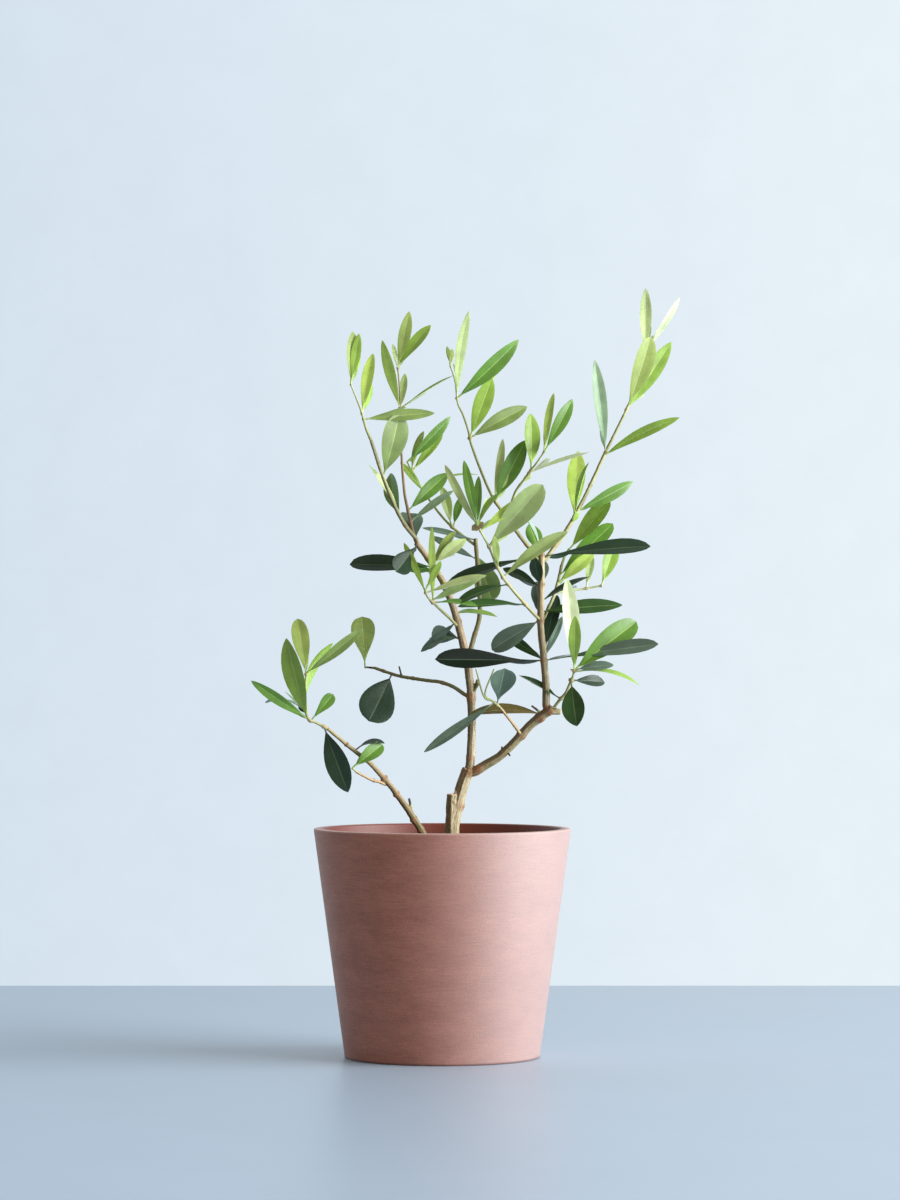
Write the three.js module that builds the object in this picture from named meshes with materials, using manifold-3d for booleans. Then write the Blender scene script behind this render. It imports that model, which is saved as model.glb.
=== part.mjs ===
// A young olive tree in a round tapered clay pot, in millimetres, +Z up.
// The origin is the centre of the pot's flat underside. The crown is widest along X.
import * as THREE from "three";
import { mergeVertices } from "three/addons/utils/BufferGeometryUtils.js";
import Module from "manifold-3d";

const wasm = await Module();
wasm.setup();

// ---- driving dimensions -------------------------------------------------------------------
const GAP = 0.3; // clearance between neighbouring solids
const CUT_GAP = 0.4; // clearance along a faceted cut, a little more so that no corner closes it

const POT = {
  rimRadius: 100,
  footRadius: 76,
  height: 177.5,
  wall: 8.5,
  floor: 9,
  edge: 1.2, // rounding of the rim and of the foot
  facets: 36,
};
const RIM_EASE = [[0.05, 1], [0.35, 0.3], [1, 0]]; // across and down, as shares of the rounding
const GROUND = 152.5; // height of the compost in the pot

const LIMB_FACETS = 6;
const TWIG_FACETS = 5;
const TWIG_DIAMETER = 3.5; // a limb that starts no thicker than this has a twig's facets
const STEP_LENGTH = 22; // spacing of the rings along a limb

const LOBE_FACETS = 4;
const LOBE_STEPS = 3;
const LOBE_UNEVEN = 0.22; // how far a lobe's radius wanders, as a share of it
const LOBE_NECK = 0.3; // radius of a lobe at its two ends, as a share of its widest
const LOBE_LEAN = 0.9; // under 1, a lobe is thickest past its middle
const LOBE_THICKNESS = 0.72; // a side lobe's thickness, as a share of its heart's
const HEART_SAMPLES = 20; // places along a heart where a lobe may leave it
const LOBE_SLANT = 0.6; // how far below its tip's level a lobe starts, as a share of its reach

// Steps between the seeds of neighbouring masses, lobes, facets and rings, so that no two meet.
const SEED_STEPS = { mass: 1000, lobe: 101, facet: 7, ring: 31 };

const COLOURS = {
  clay: 0xb98478,
  compost: 0x35281f,
  bark: 0x8a7d66,
  greenBark: 0x83844f,
  redTwig: 0x6f4a3a,
  oldLeaf: 0x2f4d3a,
  greyLeaf: 0x6d8175,
  youngLeaf: 0x7f9a45,
};

// ---- limbs --------------------------------------------------------------------------------
// Each limb is one tapering solid: a route through a few places [x, y, height above the compost]
// from its foot to its tip, and its diameters, spread evenly along it. A standing limb is cut flat
// at the compost, and a limb is cut where it meets one listed before it.
const LIMBS = {
  trunk: {
    route: [[6, 0, GAP], [7, 0, 15], [8, 0, 32], [11, 0, 47], [16, 0, 59], [21, 0, 71]],
    diameters: [16, 11.4, 10.8, 10.4, 9.4, 8.6],
    // Where the first leader was pruned.
    stub: { from: [8.5, 0, 36], to: [6, -0.5, 52], diameters: [9.5, 7.5] },
    standing: true,
  },
  left_leader: {
    route: [
      [21, 0, 69], [23, 2, 95], [23, 4, 116], [21, 2, 145], [14, -4, 178], [1, -14, 216], [-22, -24, 249],
    ],
    diameters: [7.4, 6.2, 6.3, 6.5, 5.4, 4.7, 3.8],
  },
  right_bough: {
    route: [[20, 0, 69], [45, -3, 80], [62, -6, 99], [76, -9, 113], [86, -11, 119]],
    diameters: [7.6, 6.6, 6.5, 6.6, 7.6],
  },
  right_upright: {
    route: [[81, -10, 118], [80, -9, 145], [78, -8, 164], [76, -6, 186], [77, -5, 210], [77, -4, 245]],
    diameters: [6.4, 5.4, 5.3, 5.2, 5, 4.6],
  },
  right_arm: {
    route: [
      [78, -4, 232], [91, 6, 248], [102, 17, 265], [115, 30, 290], [126, 41, 314], [139, 50, 340],
      [145, 54, 352],
    ],
    diameters: [3.6, 3.4, 3.2, 2.8, 2.6, 2.2, 2],
  },
  left_arm: {
    route: [[77, -4, 232], [64, -7, 247], [56, -9, 257], [47, -12, 272], [40, -13, 280]],
    diameters: [3.4, 3, 2.8, 2.6],
  },
  second_upright: {
    route: [[19, 1, 151], [25, 12, 175], [30, 20, 192], [29, 28, 210], [26, 41, 252]],
    diameters: [4.4, 3.6, 3.4, 3.2, 3.4],
  },
  outer_shoot: {
    route: [[-20, -23, 247], [-32, -30, 265], [-45, -39, 295], [-55, -46, 326]],
    diameters: [3.4, 3.1, 2.7, 2.3],
  },
  inner_shoot: {
    route: [[-21, -23, 248], [-29, -10, 283], [-32, 9, 320], [-33, 17, 340]],
    diameters: [2.6, 2.3, 2, 1.8],
    colour: COLOURS.redTwig,
  },
  back_shoot: {
    route: [[27, 40, 246], [9, 44, 259], [-7, 52, 277], [-14, 58, 288]],
    diameters: [2.4, 2.1, 1.9],
    colour: COLOURS.greenBark,
  },
  centre_shoot: {
    route: [[41, -13, 278], [31, -3, 300], [22, 9, 326]],
    diameters: [2.5, 2.2, 2],
    colour: COLOURS.greenBark,
  },
  fan_shoot: {
    route: [[50, -11, 268], [55, -18, 283], [60, -22, 291], [69, -29, 303]],
    diameters: [2.4, 2.2, 2],
    colour: COLOURS.greenBark,
  },
  front_shoot: {
    route: [[77, -6, 186], [65, -18, 198], [56, -30, 208], [46, -44, 220]],
    diameters: [2.8, 2.5, 2.3],
    colour: COLOURS.greenBark,
  },
  right_shoot: {
    route: [[77, -6, 187], [84, 2, 197], [87, 12, 206], [91, 24, 218], [94, 37, 231]],
    diameters: [2.8, 2.5, 2.3],
  },
  leader_shoot: {
    route: [[13, -5, 182], [4, -17, 190], [-3, -29, 196], [-8, -40, 201]],
    diameters: [2.6, 2.3, 2],
    colour: COLOURS.greenBark,
  },
  side_twig: {
    route: [[22, 3, 126], [10, 8, 136], [-6, 15, 139], [-34, 30, 143], [-55, 41, 150]],
    diameters: [3.2, 2.8, 2.6, 2.2],
  },
  bough_twig: {
    route: [[62, -6, 97], [56, -13, 103], [52, -20, 111], [44, -27, 120]],
    diameters: [2.6, 2.2, 1.9],
  },
  elbow_shoot: {
    route: [[86, -10, 119], [93, -14, 126], [98, -21, 136], [101, -25, 143]],
    diameters: [2.8, 2.4, 2.2],
    colour: COLOURS.greenBark,
  },
  low_stem: {
    route: [
      [-7, -3, GAP], [-16, -8, 23], [-33, -16, 49], [-52, -25, 73], [-69, -33, 87], [-90, -43, 105],
    ],
    diameters: [7.4, 5.4, 4.6, 3.8, 3, 2.4],
    standing: true,
  },
  low_twig: {
    route: [[-42, -19, 60], [-51, -28, 62], [-66, -42, 70]],
    diameters: [2.4, 2, 1.8],
  },
};

// ---- masses of leaves ---------------------------------------------------------------------
// Each mass follows one spray: a heart that runs on from the end of its shoot to the spray's tip,
// and lobes out to its furthest leaves. Thickness is the heart's widest diameter. Places are given
// as those of the limbs are.
const MASSES = {
  top_left: {
    heart: [[-54, -46, 322], [-61, -48, 350], [-68, -50, 416]],
    lobes: [[-54, -62, 398], [-3, -30, 350], [-80, -28, 386], [-46, -80, 376]],
    thickness: 17,
    colour: COLOURS.youngLeaf,
  },
  top_left_inner: {
    heart: [[-33, 16, 336], [-34, 26, 386], [-24, 34, 428]],
    lobes: [[-48, 12, 402], [8, 34, 380], [-10, 40, 423], [-36, 62, 398]],
    thickness: 15,
    colour: COLOURS.youngLeaf,
  },
  left_mid: {
    heart: [[-38, -40, 280], [-40, -46, 306], [-31, -50, 342]],
    lobes: [[-53, -34, 308], [-44, -62, 300], [-70, -58, 316]],
    thickness: 15,
    colour: COLOURS.greyLeaf,
  },
  left_centre: {
    heart: [[-13, 57, 284], [-18, 62, 302], [-17, 66, 340]],
    lobes: [[9, 54, 348], [7, 70, 328], [-31, 58, 310], [-42, 84, 324], [-10, 94, 316]],
    thickness: 16,
    colour: COLOURS.youngLeaf,
  },
  back_foot: {
    heart: [[2, 48, 264], [6, 44, 286], [9, 40, 306]],
    lobes: [[26, 50, 310], [-24, 70, 266], [20, 72, 282]],
    thickness: 13,
    colour: COLOURS.oldLeaf,
  },
  top_centre: {
    heart: [[24, 6, 320], [16, 14, 360], [21, 22, 428]],
    lobes: [[62, 12, 402], [39, 24, 368], [69, 20, 356], [4, -8, 398], [2, 44, 380]],
    thickness: 16,
    colour: COLOURS.youngLeaf,
  },
  centre_fan: {
    heart: [[43, -14, 278], [54, -22, 298], [65, -28, 324]],
    lobes: [[47, -10, 328], [34, -40, 302], [48, 12, 302]],
    thickness: 14,
    colour: COLOURS.oldLeaf,
  },
  centre_right: {
    heart: [[67, -28, 300], [76, -34, 320], [84, -38, 360]],
    lobes: [[71, -36, 348], [103, -32, 358], [112, -36, 318], [80, -66, 338]],
    thickness: 15,
    colour: COLOURS.youngLeaf,
  },
  top_right: {
    heart: [[144, 54, 348], [152, 58, 380], [160, 60, 443]],
    lobes: [[163, 46, 402], [180, 66, 406], [192, 62, 434], [138, 84, 390], [146, 30, 388]],
    thickness: 17,
    colour: COLOURS.youngLeaf,
  },
  right_upper: {
    heart: [[124, 37, 312], [123, 34, 340], [120, 34, 388]],
    lobes: [[180, 30, 344], [132, 70, 340], [150, 62, 320]],
    thickness: 14,
    colour: COLOURS.greyLeaf,
  },
  right_mid: {
    heart: [[103, 16, 264], [105, 12, 290], [106, 12, 323]],
    lobes: [[151, 10, 294], [98, 30, 312], [112, -16, 292]],
    thickness: 14,
    colour: COLOURS.youngLeaf,
  },
  right: {
    heart: [[93, 35, 228], [104, 44, 246], [130, 48, 280]],
    lobes: [[134, 34, 264], [133, 60, 243], [123, 40, 236], [100, 76, 256], [84, 62, 264]],
    thickness: 17,
    colour: COLOURS.youngLeaf,
  },
  right_dark: {
    heart: [[79, -6, 238], [100, -14, 238], [162, -24, 241]],
    lobes: [[112, -20, 224], [92, 4, 254]],
    thickness: 11,
    colour: COLOURS.oldLeaf,
  },
  centre: {
    heart: [[47, -43, 218], [34, -54, 246], [18, -62, 290]],
    lobes: [[76, -58, 290], [50, -74, 280], [0, -64, 310], [94, -56, 261], [44, -62, 200], [14, -88, 266]],
    thickness: 18,
    colour: COLOURS.youngLeaf,
  },
  leader_tuft: {
    heart: [[0, -14, 220], [5, -8, 236], [17, 0, 258]],
    lobes: [[60, -4, 236], [-2, 14, 242], [24, 22, 242]],
    thickness: 12,
    colour: COLOURS.oldLeaf,
  },
  left_dark: {
    heart: [[-8, -19, 230], [-30, -22, 228], [-72, -30, 230]],
    lobes: [[-32, -44, 224], [-30, 8, 236], [-24, -2, 270]],
    thickness: 13,
    colour: COLOURS.oldLeaf,
  },
  front_left: {
    heart: [[-7, -39, 199], [-9, -46, 216], [-7, -52, 256]],
    lobes: [[-30, -46, 250], [30, -56, 222], [27, -50, 203], [-22, -74, 224], [2, -82, 216]],
    thickness: 14,
    colour: COLOURS.youngLeaf,
  },
  left_lower: {
    heart: [[12, -7, 180], [2, -12, 172], [-15, -20, 160]],
    lobes: [[-13, 4, 173], [0, 22, 178], [-2, -34, 172]],
    thickness: 10,
    colour: COLOURS.greyLeaf,
  },
  middle_dark: {
    heart: [[76, -10, 166], [48, -18, 160], [-4, -30, 156]],
    lobes: [[38, -20, 166], [46, -6, 187], [50, -44, 168]],
    thickness: 13,
    colour: COLOURS.oldLeaf,
  },
  middle_upper: {
    heart: [[64, -20, 198], [44, -26, 200], [9, -32, 201]],
    lobes: [[8, -20, 208], [48, -8, 214]],
    thickness: 9,
    colour: COLOURS.oldLeaf,
  },
  right_lower: {
    heart: [[79, -6, 172], [94, -6, 176], [148, 4, 190]],
    lobes: [[96, -14, 214], [137, 12, 198], [166, -6, 167], [92, 24, 198], [98, 34, 176]],
    thickness: 15,
    colour: COLOURS.greyLeaf,
  },
  right_foot: {
    heart: [[100, -25, 141], [101, -32, 150], [100, -32, 186]],
    lobes: [[103, -44, 108], [131, -28, 138], [153, -26, 149], [66, -22, 146], [112, -58, 150]],
    thickness: 14,
    colour: COLOURS.oldLeaf,
  },
  lower_centre: {
    heart: [[45, -27, 119], [26, -32, 112], [-13, -38, 84]],
    lobes: [[22, -28, 118], [52, -22, 147], [40, -50, 112]],
    thickness: 12,
    colour: COLOURS.greyLeaf,
  },
  far_left: {
    heart: [[-89, -42, 104], [-102, -46, 126], [-110, -44, 194]],
    lobes: [[-149, -36, 138], [-124, -52, 172], [-64, -34, 180], [-84, -48, 127], [-108, -18, 158]],
    thickness: 17,
    colour: COLOURS.youngLeaf,
  },
  far_left_hanging: {
    heart: [[-83, -40, 96], [-86, -50, 82], [-75, -54, 54]],
    lobes: [[-100, -58, 72]],
    thickness: 12,
    colour: COLOURS.oldLeaf,
  },
  low_fan: {
    heart: [[-65, -41, 69], [-60, -46, 80], [-46, -50, 94]],
    lobes: [[-64, -30, 98], [-78, -50, 88]],
    thickness: 11,
    colour: COLOURS.oldLeaf,
  },
  side_fan: {
    heart: [[-54, 40, 149], [-57, 46, 164], [-58, 50, 189]],
    lobes: [[-54, 34, 109], [-74, 54, 156], [-46, 66, 150]],
    thickness: 17,
    colour: COLOURS.oldLeaf,
  },
};

// ---- shaping ------------------------------------------------------------------------------
const place = ([x, y, height]) => new THREE.Vector3(x, y, GROUND + height);

// A repeatable number from 0 to 1 for each whole-number seed.
function chance(seed) {
  const wave = Math.sin(seed * 12.9898 + 4.1414) * 43758.5453;
  return wave - Math.floor(wave);
}

// A round stick bent along a route. radiusAt gives the radius at a share of the length and a facet,
// and both ends run on by the length of over.
function sweep(route, radiusAt, facets, steps, over) {
  const curve = new THREE.CatmullRomCurve3(route, false, "centripetal");
  const frames = curve.computeFrenetFrames(steps, false);
  const stick = new THREE.CylinderGeometry(1, 1, 1, facets, steps);
  const position = stick.attributes.position;
  for (let i = 0; i < position.count; i++) {
    const step = Math.round((position.getY(i) + 0.5) * steps);
    const across = position.getX(i);
    const along = position.getZ(i);
    const facet = (Math.round((Math.atan2(across, along) / (2 * Math.PI)) * facets) + facets) % facets;
    const radius = radiusAt(step / steps, facet);
    const past = step === 0 ? -over : step === steps ? over : 0;
    const point = curve.getPointAt(step / steps).addScaledVector(frames.tangents[step], past);
    point.addScaledVector(frames.binormals[step], across * radius);
    point.addScaledVector(frames.normals[step], along * radius);
    position.setXYZ(i, point.x, point.y, point.z);
  }
  return stick;
}

// The value at a share of the way along a list of evenly spaced values.
function alongList(values, share) {
  const at = share * (values.length - 1);
  const low = Math.min(Math.floor(at), values.length - 2);
  return THREE.MathUtils.lerp(values[low], values[low + 1], at - low);
}

function toSolid(geometry) {
  const bare = geometry.clone();
  bare.deleteAttribute("normal");
  bare.deleteAttribute("uv");
  const closed = mergeVertices(bare, 1e-4);
  const vertProperties = new Float32Array(closed.attributes.position.array);
  const triVerts = new Uint32Array(closed.index.array);
  return new wasm.Manifold(new wasm.Mesh({ numProp: 3, vertProperties, triVerts }));
}

function toGeometry(solid) {
  const mesh = solid.getMesh();
  const geometry = new THREE.BufferGeometry();
  geometry.setAttribute("position", new THREE.BufferAttribute(mesh.vertProperties, 3));
  geometry.setIndex(new THREE.BufferAttribute(mesh.triVerts, 1));
  return geometry;
}

function largestBody(solid) {
  return solid.decompose().reduce((best, body) => (body.volume() > best.volume() ? body : best));
}

// A limb, or with swell above 0 the room it needs in its neighbours.
function limbSolid({ route, diameters, stub, standing }, swell) {
  const facets = diameters[0] > TWIG_DIAMETER ? LIMB_FACETS : TWIG_FACETS;
  const stick = (places, widths) => {
    const points = places.map(place);
    const length = new THREE.CatmullRomCurve3(points).getLength();
    const steps = Math.max(2, Math.round(length / STEP_LENGTH));
    const bent = sweep(points, (share) => alongList(widths, share) / 2 + swell, facets, steps, swell);
    if (standing && places === route) {
      levelFoot(bent, facets, swell);
    }
    return toSolid(bent);
  };
  const body = stick(route, diameters);
  return stub ? body.add(stick([stub.from, stub.to], stub.diameters)) : body;
}

// The flat cut at the foot of a stem: its lowest ring and the middle of its end are set level. A
// cylinder lists the end cap of its last ring first and that of its foot last.
function levelFoot(bent, facets, swell) {
  const position = bent.attributes.position;
  const start = position.count - (2 * facets + 1);
  const ring = new Set();
  for (let i = start; i < position.count; i++) {
    ring.add(keyOf(position, i));
  }
  for (let i = 0; i < position.count; i++) {
    if (ring.has(keyOf(position, i))) {
      position.setZ(i, GROUND + GAP - swell);
    }
  }
}

function keyOf(position, i) {
  return [position.getX(i), position.getY(i), position.getZ(i)].map((v) => v.toFixed(3)).join();
}

// One leafy lobe from a place on the heart out to a leaf tip, thickest a little past its middle.
function lobeSolid(route, thickness, seed, swell) {
  const radiusAt = (share, facet) => {
    const belly = LOBE_NECK + (1 - LOBE_NECK) * Math.sin(Math.PI * share ** LOBE_LEAN);
    const spot = seed + SEED_STEPS.facet * facet + SEED_STEPS.ring * share * LOBE_STEPS;
    const uneven = 1 + LOBE_UNEVEN * (2 * chance(spot) - 1);
    return (thickness / 2) * belly * uneven + swell;
  };
  return toSolid(sweep(route, radiusAt, LOBE_FACETS, LOBE_STEPS, swell));
}

// A mass of leaves: its heart joined with its lobes. A lobe leaves the heart a little below the level
// of its own tip, as leaves slant forward from their shoot.
function massSolid({ heart, lobes, thickness }, seed, swell) {
  const spine = new THREE.CatmullRomCurve3(heart.map(place), false, "centripetal");
  const samples = spine.getSpacedPoints(HEART_SAMPLES);
  let body = lobeSolid(heart.map(place), thickness, seed, swell);
  lobes.forEach((tip, i) => {
    const end = place(tip);
    const distances = samples.map((point) => point.distanceTo(end));
    const nearest = distances.indexOf(Math.min(...distances));
    const reach = Math.round((distances[nearest] / spine.getLength()) * LOBE_SLANT * HEART_SAMPLES);
    const route = [samples[Math.max(1, nearest - reach)], end];
    body = body.add(lobeSolid(route, thickness * LOBE_THICKNESS, seed + SEED_STEPS.lobe * (i + 1), swell));
  });
  return body;
}

// ---- pot and compost ----------------------------------------------------------------------
// Half the pot's outline, turned about the axis: flat underside, straight flaring side, rounded rim,
// and a hollow with the same flare.
function turned(outline, facets) {
  const geometry = new THREE.LatheGeometry(outline, facets);
  return geometry.rotateX(Math.PI / 2);
}

function outerRadius(height) {
  return THREE.MathUtils.lerp(POT.footRadius, POT.rimRadius, height / POT.height);
}

function innerRadius(height) {
  return outerRadius(height) - POT.wall;
}

// The three points that ease off a corner of the rim, from the side up to the top.
function easedRim(radius, inward) {
  const e = POT.edge;
  return RIM_EASE.map(([across, down]) => [radius + inward * across * e, POT.height - down * e]);
}

function potOutline() {
  const top = POT.height;
  const outline = [
    [0, 0],
    [POT.footRadius - POT.edge, 0],
    [POT.footRadius, POT.edge],
    ...easedRim(outerRadius(top), -1),
    ...easedRim(innerRadius(top), 1).reverse(),
    [innerRadius(POT.floor), POT.floor],
    [0, POT.floor],
  ];
  return outline.map(([radius, height]) => new THREE.Vector2(radius, height));
}

function compostOutline() {
  const bottom = POT.floor + GAP;
  const outline = [
    [0, bottom],
    [innerRadius(bottom) - 2 * GAP, bottom],
    [innerRadius(GROUND) - 2 * GAP, GROUND],
    [0, GROUND],
  ];
  return outline.map(([radius, height]) => new THREE.Vector2(radius, height));
}

// ---- assembly -----------------------------------------------------------------------------
function finish(colour, roughness) {
  return new THREE.MeshStandardMaterial({ color: colour, roughness, metalness: 0 });
}

function named(name, geometry, material) {
  const mesh = new THREE.Mesh(geometry, material);
  mesh.name = name;
  return mesh;
}

const tree = new THREE.Group();
tree.add(named("pot", turned(potOutline(), POT.facets), finish(COLOURS.clay, 0.6)));
tree.add(named("compost", turned(compostOutline(), POT.facets), finish(COLOURS.compost, 0.95)));

const rooms = []; // the room that each solid so far keeps clear round itself
function fitted(solid) {
  return largestBody(rooms.reduce((left, room) => left.subtract(room), solid));
}

for (const [name, limb] of Object.entries(LIMBS)) {
  const solid = fitted(limbSolid(limb, 0));
  rooms.push(limbSolid(limb, CUT_GAP));
  tree.add(named(name, toGeometry(solid), finish(limb.colour ?? COLOURS.bark, 0.8)));
}

Object.entries(MASSES).forEach(([name, mass], i) => {
  const seed = SEED_STEPS.mass * (i + 1);
  const solid = fitted(massSolid(mass, seed, 0));
  rooms.push(massSolid(mass, seed, CUT_GAP));
  tree.add(named(`leaves_${name}`, toGeometry(solid), finish(mass.colour, 0.6)));
});

export default tree;
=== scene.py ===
# %% [markdown]
# # A young olive tree in a clay pot
#
# The finished picture is a small olive with a short trunk that was cut back, two main limbs, a
# low sprig on the left, and an open crown of narrow leaves, in a plain tapered pot on a table.
# The limbs, the masses of foliage, the pot and the compost come from the frame, which fixes
# their sizes and places. This script makes each of them look real without moving any of them:
# the pot is turned again with a round rim, the limbs are fused into one piece of wood with
# bark, and every mass is replaced by shoots and leaves that grow on from its own limb.

# %% Load the frame
import math
import random

import bpy
import numpy as np
from mathutils import Matrix, Vector, noise


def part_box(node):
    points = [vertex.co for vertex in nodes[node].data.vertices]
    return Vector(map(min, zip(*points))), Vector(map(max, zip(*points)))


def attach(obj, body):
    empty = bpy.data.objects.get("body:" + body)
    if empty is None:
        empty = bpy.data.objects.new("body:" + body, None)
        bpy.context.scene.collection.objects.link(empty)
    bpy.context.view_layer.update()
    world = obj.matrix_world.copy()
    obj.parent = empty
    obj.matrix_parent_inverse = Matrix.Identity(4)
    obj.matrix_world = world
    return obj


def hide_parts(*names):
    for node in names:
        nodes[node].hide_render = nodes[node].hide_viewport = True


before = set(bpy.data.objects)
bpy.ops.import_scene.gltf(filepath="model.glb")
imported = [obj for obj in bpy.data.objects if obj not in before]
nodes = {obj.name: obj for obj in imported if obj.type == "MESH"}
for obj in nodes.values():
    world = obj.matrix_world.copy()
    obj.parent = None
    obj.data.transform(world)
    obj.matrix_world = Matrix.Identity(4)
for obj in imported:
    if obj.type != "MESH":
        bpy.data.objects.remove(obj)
bpy.context.view_layer.update()
MM = 0.001

# %% [markdown]
# ## Three small helpers
#
# Colours are easiest to choose as sRGB hex values, the way a paint chip gives them, but the
# renderer mixes light in linear values, so one function turns the first into the second. A
# second function adds a shader node of any kind with its settings, its links and its values. The
# third starts a material and hands back its tree and its Principled shader.

# %% Colours, nodes and materials
def colour(hex_value):
    """An sRGB hex colour as the linear RGBA that shaders use."""
    parts = [int(hex_value[i:i + 2], 16) / 255 for i in (1, 3, 5)]
    return [p / 12.92 if p <= 0.04045 else ((p + 0.055) / 1.055) ** 2.4 for p in parts] + [1]


def add_node(tree, kind, settings=None, links=None, values=None):
    """Adds a node, with settings on the node, values on its sockets and links into them."""
    made = tree.nodes.new(kind)
    for name, value in (settings or {}).items():
        setattr(made, name, value)
    for socket, value in (values or {}).items():
        made.inputs[socket].default_value = value
    for socket, source in (links or {}).items():
        tree.links.new(source, made.inputs[socket])
    return made


def new_material(name):
    """A new material with its tree and its Principled shader."""
    material = bpy.data.materials.new(name)
    material.use_nodes = True
    tree = material.node_tree
    return material, tree, tree.nodes["Principled BSDF"]


print("a mid grey is", [round(c, 3) for c in colour("#808080")[:3]], "in linear light")

# %% [markdown]
# ## Camera, table and light
#
# The tree stands on a pale blue-grey table before a pale wall. A long lens from three metres
# away shows it almost without perspective, from a little above the rim of the pot. The wall is
# the world's own colour, so that it never stands in the way of a view from behind. What the
# camera sees of it is plain, but the light it sends is not even: the half of the world behind
# the tree throws back the pale light of the wall, and the half in front is a dimmer, warmer
# room. The table is satin, so that it mirrors some of the wall, and the shadow on it is soft.
# One large light stands far to the right, as a window would.
# The board is also painted paler towards the window, which is painted light.

# %% The camera
CAMERA_PLACE = Vector((0.006, -3.27, 0.3175))
CAMERA_AIM = Vector((0.006, 0, 0.355))


def aim(thing, place, target):
    """Stands a camera or a light at a place and turns it to its target."""
    thing.location = place
    thing.rotation_euler = (target - place).to_track_quat("-Z", "Y").to_euler()
    bpy.context.scene.collection.objects.link(thing)


lens = bpy.data.cameras.new("camera")
lens.sensor_width = 36
lens.lens = 126.06
camera = bpy.data.objects.new("camera", lens)
aim(camera, CAMERA_PLACE, CAMERA_AIM)
bpy.context.scene.camera = camera
bpy.context.scene.view_settings.view_transform = "Standard"
print("camera tilts up by", round(math.degrees(camera.rotation_euler.x) - 90, 2), "degrees")

# %% The table, a painted board with a satin finish
TABLE_BACK = 0.687
TABLE_FRONT = -3.1
TABLE_SIDE = 3.0
TABLE_THICK = 0.03
# Painted light: the board is painted paler towards the window, from the first of these places to the
# second.
PALER = (-0.4, 0.35)
ROLLER_MARKS = 9
bpy.ops.object.select_all(action="DESELECT")
bpy.ops.mesh.primitive_cube_add(size=1)
table = bpy.context.object
table.name = "table"
table.scale = (2 * TABLE_SIDE, TABLE_BACK - TABLE_FRONT, TABLE_THICK)
table.location = (0, (TABLE_BACK + TABLE_FRONT) / 2, -TABLE_THICK / 2)
bpy.ops.object.transform_apply(location=True, rotation=False, scale=True)

painted_board, tree, shader = new_material("painted_board_satin")
place = add_node(tree, "ShaderNodeTexCoord").outputs["Object"]
across = add_node(tree, "ShaderNodeSeparateXYZ", links={"Vector": place}).outputs["X"]
# The share of painted light, growing towards the window.
paler = add_node(tree, "ShaderNodeMapRange", {"interpolation_type": "SMOOTHSTEP"}, {"Value": across},
                 {"From Min": PALER[0], "From Max": PALER[1]})
tint = add_node(tree, "ShaderNodeValToRGB", links={"Fac": paler.outputs["Result"]})
tint.color_ramp.elements[0].color = colour("#a1b7cc")
tint.color_ramp.elements[1].color = colour("#b2c4d5")
rolled = add_node(tree, "ShaderNodeTexNoise", links={"Vector": place},
                  values={"Scale": ROLLER_MARKS, "Detail": 3, "Roughness": 0.6})
uneven = add_node(tree, "ShaderNodeMapRange", links={"Value": rolled.outputs["Fac"]},
                  values={"To Min": 0.97, "To Max": 1.03})
coat = add_node(tree, "ShaderNodeVectorMath", {"operation": "SCALE"},
                {0: tint.outputs["Color"], "Scale": uneven.outputs["Result"]})
tree.links.new(coat.outputs["Vector"], shader.inputs["Base Color"])
shader.inputs["Roughness"].default_value = 0.38
table.data.materials.append(painted_board)
print("the table's back edge is", TABLE_BACK, "m behind the pot's middle")

# %% The wall behind and the dim room in front
# The wall turns from its left tone to its right one while the way to it, one metre long, goes
# from this far left to this far right.
WALL_TURN = 0.11
PLASTER = 70
WALL_LIGHT = 0.90
ROOM_LIGHT = 0.42
room = bpy.data.worlds.new("pale_room")
bpy.context.scene.world = room
room.use_nodes = True
tree = room.node_tree
direction = add_node(tree, "ShaderNodeTexCoord").outputs["Generated"]
axes = add_node(tree, "ShaderNodeSeparateXYZ", links={"Vector": direction}).outputs
across = add_node(tree, "ShaderNodeMapRange", links={"Value": axes["X"]},
                  values={"From Min": -WALL_TURN, "From Max": WALL_TURN})
wall = add_node(tree, "ShaderNodeValToRGB", links={"Fac": across.outputs["Result"]})
wall.color_ramp.elements[0].color = colour("#d5e3ef")
wall.color_ramp.elements[1].color = colour("#e8f2f9")
plaster = add_node(tree, "ShaderNodeTexNoise", links={"Vector": direction},
                   values={"Scale": PLASTER, "Detail": 6, "Roughness": 0.62})
faint = add_node(tree, "ShaderNodeMapRange", links={"Value": plaster.outputs["Fac"]},
                 values={"From Min": 0.3, "From Max": 0.7, "To Min": 0.98, "To Max": 1.01})
skim = add_node(tree, "ShaderNodeVectorMath", {"operation": "SCALE"},
                {0: wall.outputs["Color"], "Scale": faint.outputs["Result"]})
seen = add_node(tree, "ShaderNodeBackground", links={"Color": skim.outputs["Vector"]})
thrown = add_node(tree, "ShaderNodeBackground",
                  values={"Color": colour("#e2edf6"), "Strength": WALL_LIGHT})
dim = add_node(tree, "ShaderNodeBackground", values={"Color": colour("#fdebd9"), "Strength": ROOM_LIGHT})
behind = add_node(tree, "ShaderNodeMapRange", {"interpolation_type": "SMOOTHSTEP"}, {"Value": axes["Y"]},
                  {"From Min": -0.2, "From Max": 0.5})
light = add_node(tree, "ShaderNodeMixShader",
                 links={0: behind.outputs["Result"], 1: dim.outputs["Background"],
                        2: thrown.outputs["Background"]})
by_camera = add_node(tree, "ShaderNodeLightPath").outputs["Is Camera Ray"]
both = add_node(tree, "ShaderNodeMixShader",
                links={0: by_camera, 1: light.outputs["Shader"], 2: seen.outputs["Background"]})
tree.links.new(both.outputs["Shader"], tree.nodes["World Output"].inputs["Surface"])
print("the room is", round(ROOM_LIGHT / WALL_LIGHT, 2), "times as bright as the wall")

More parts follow.
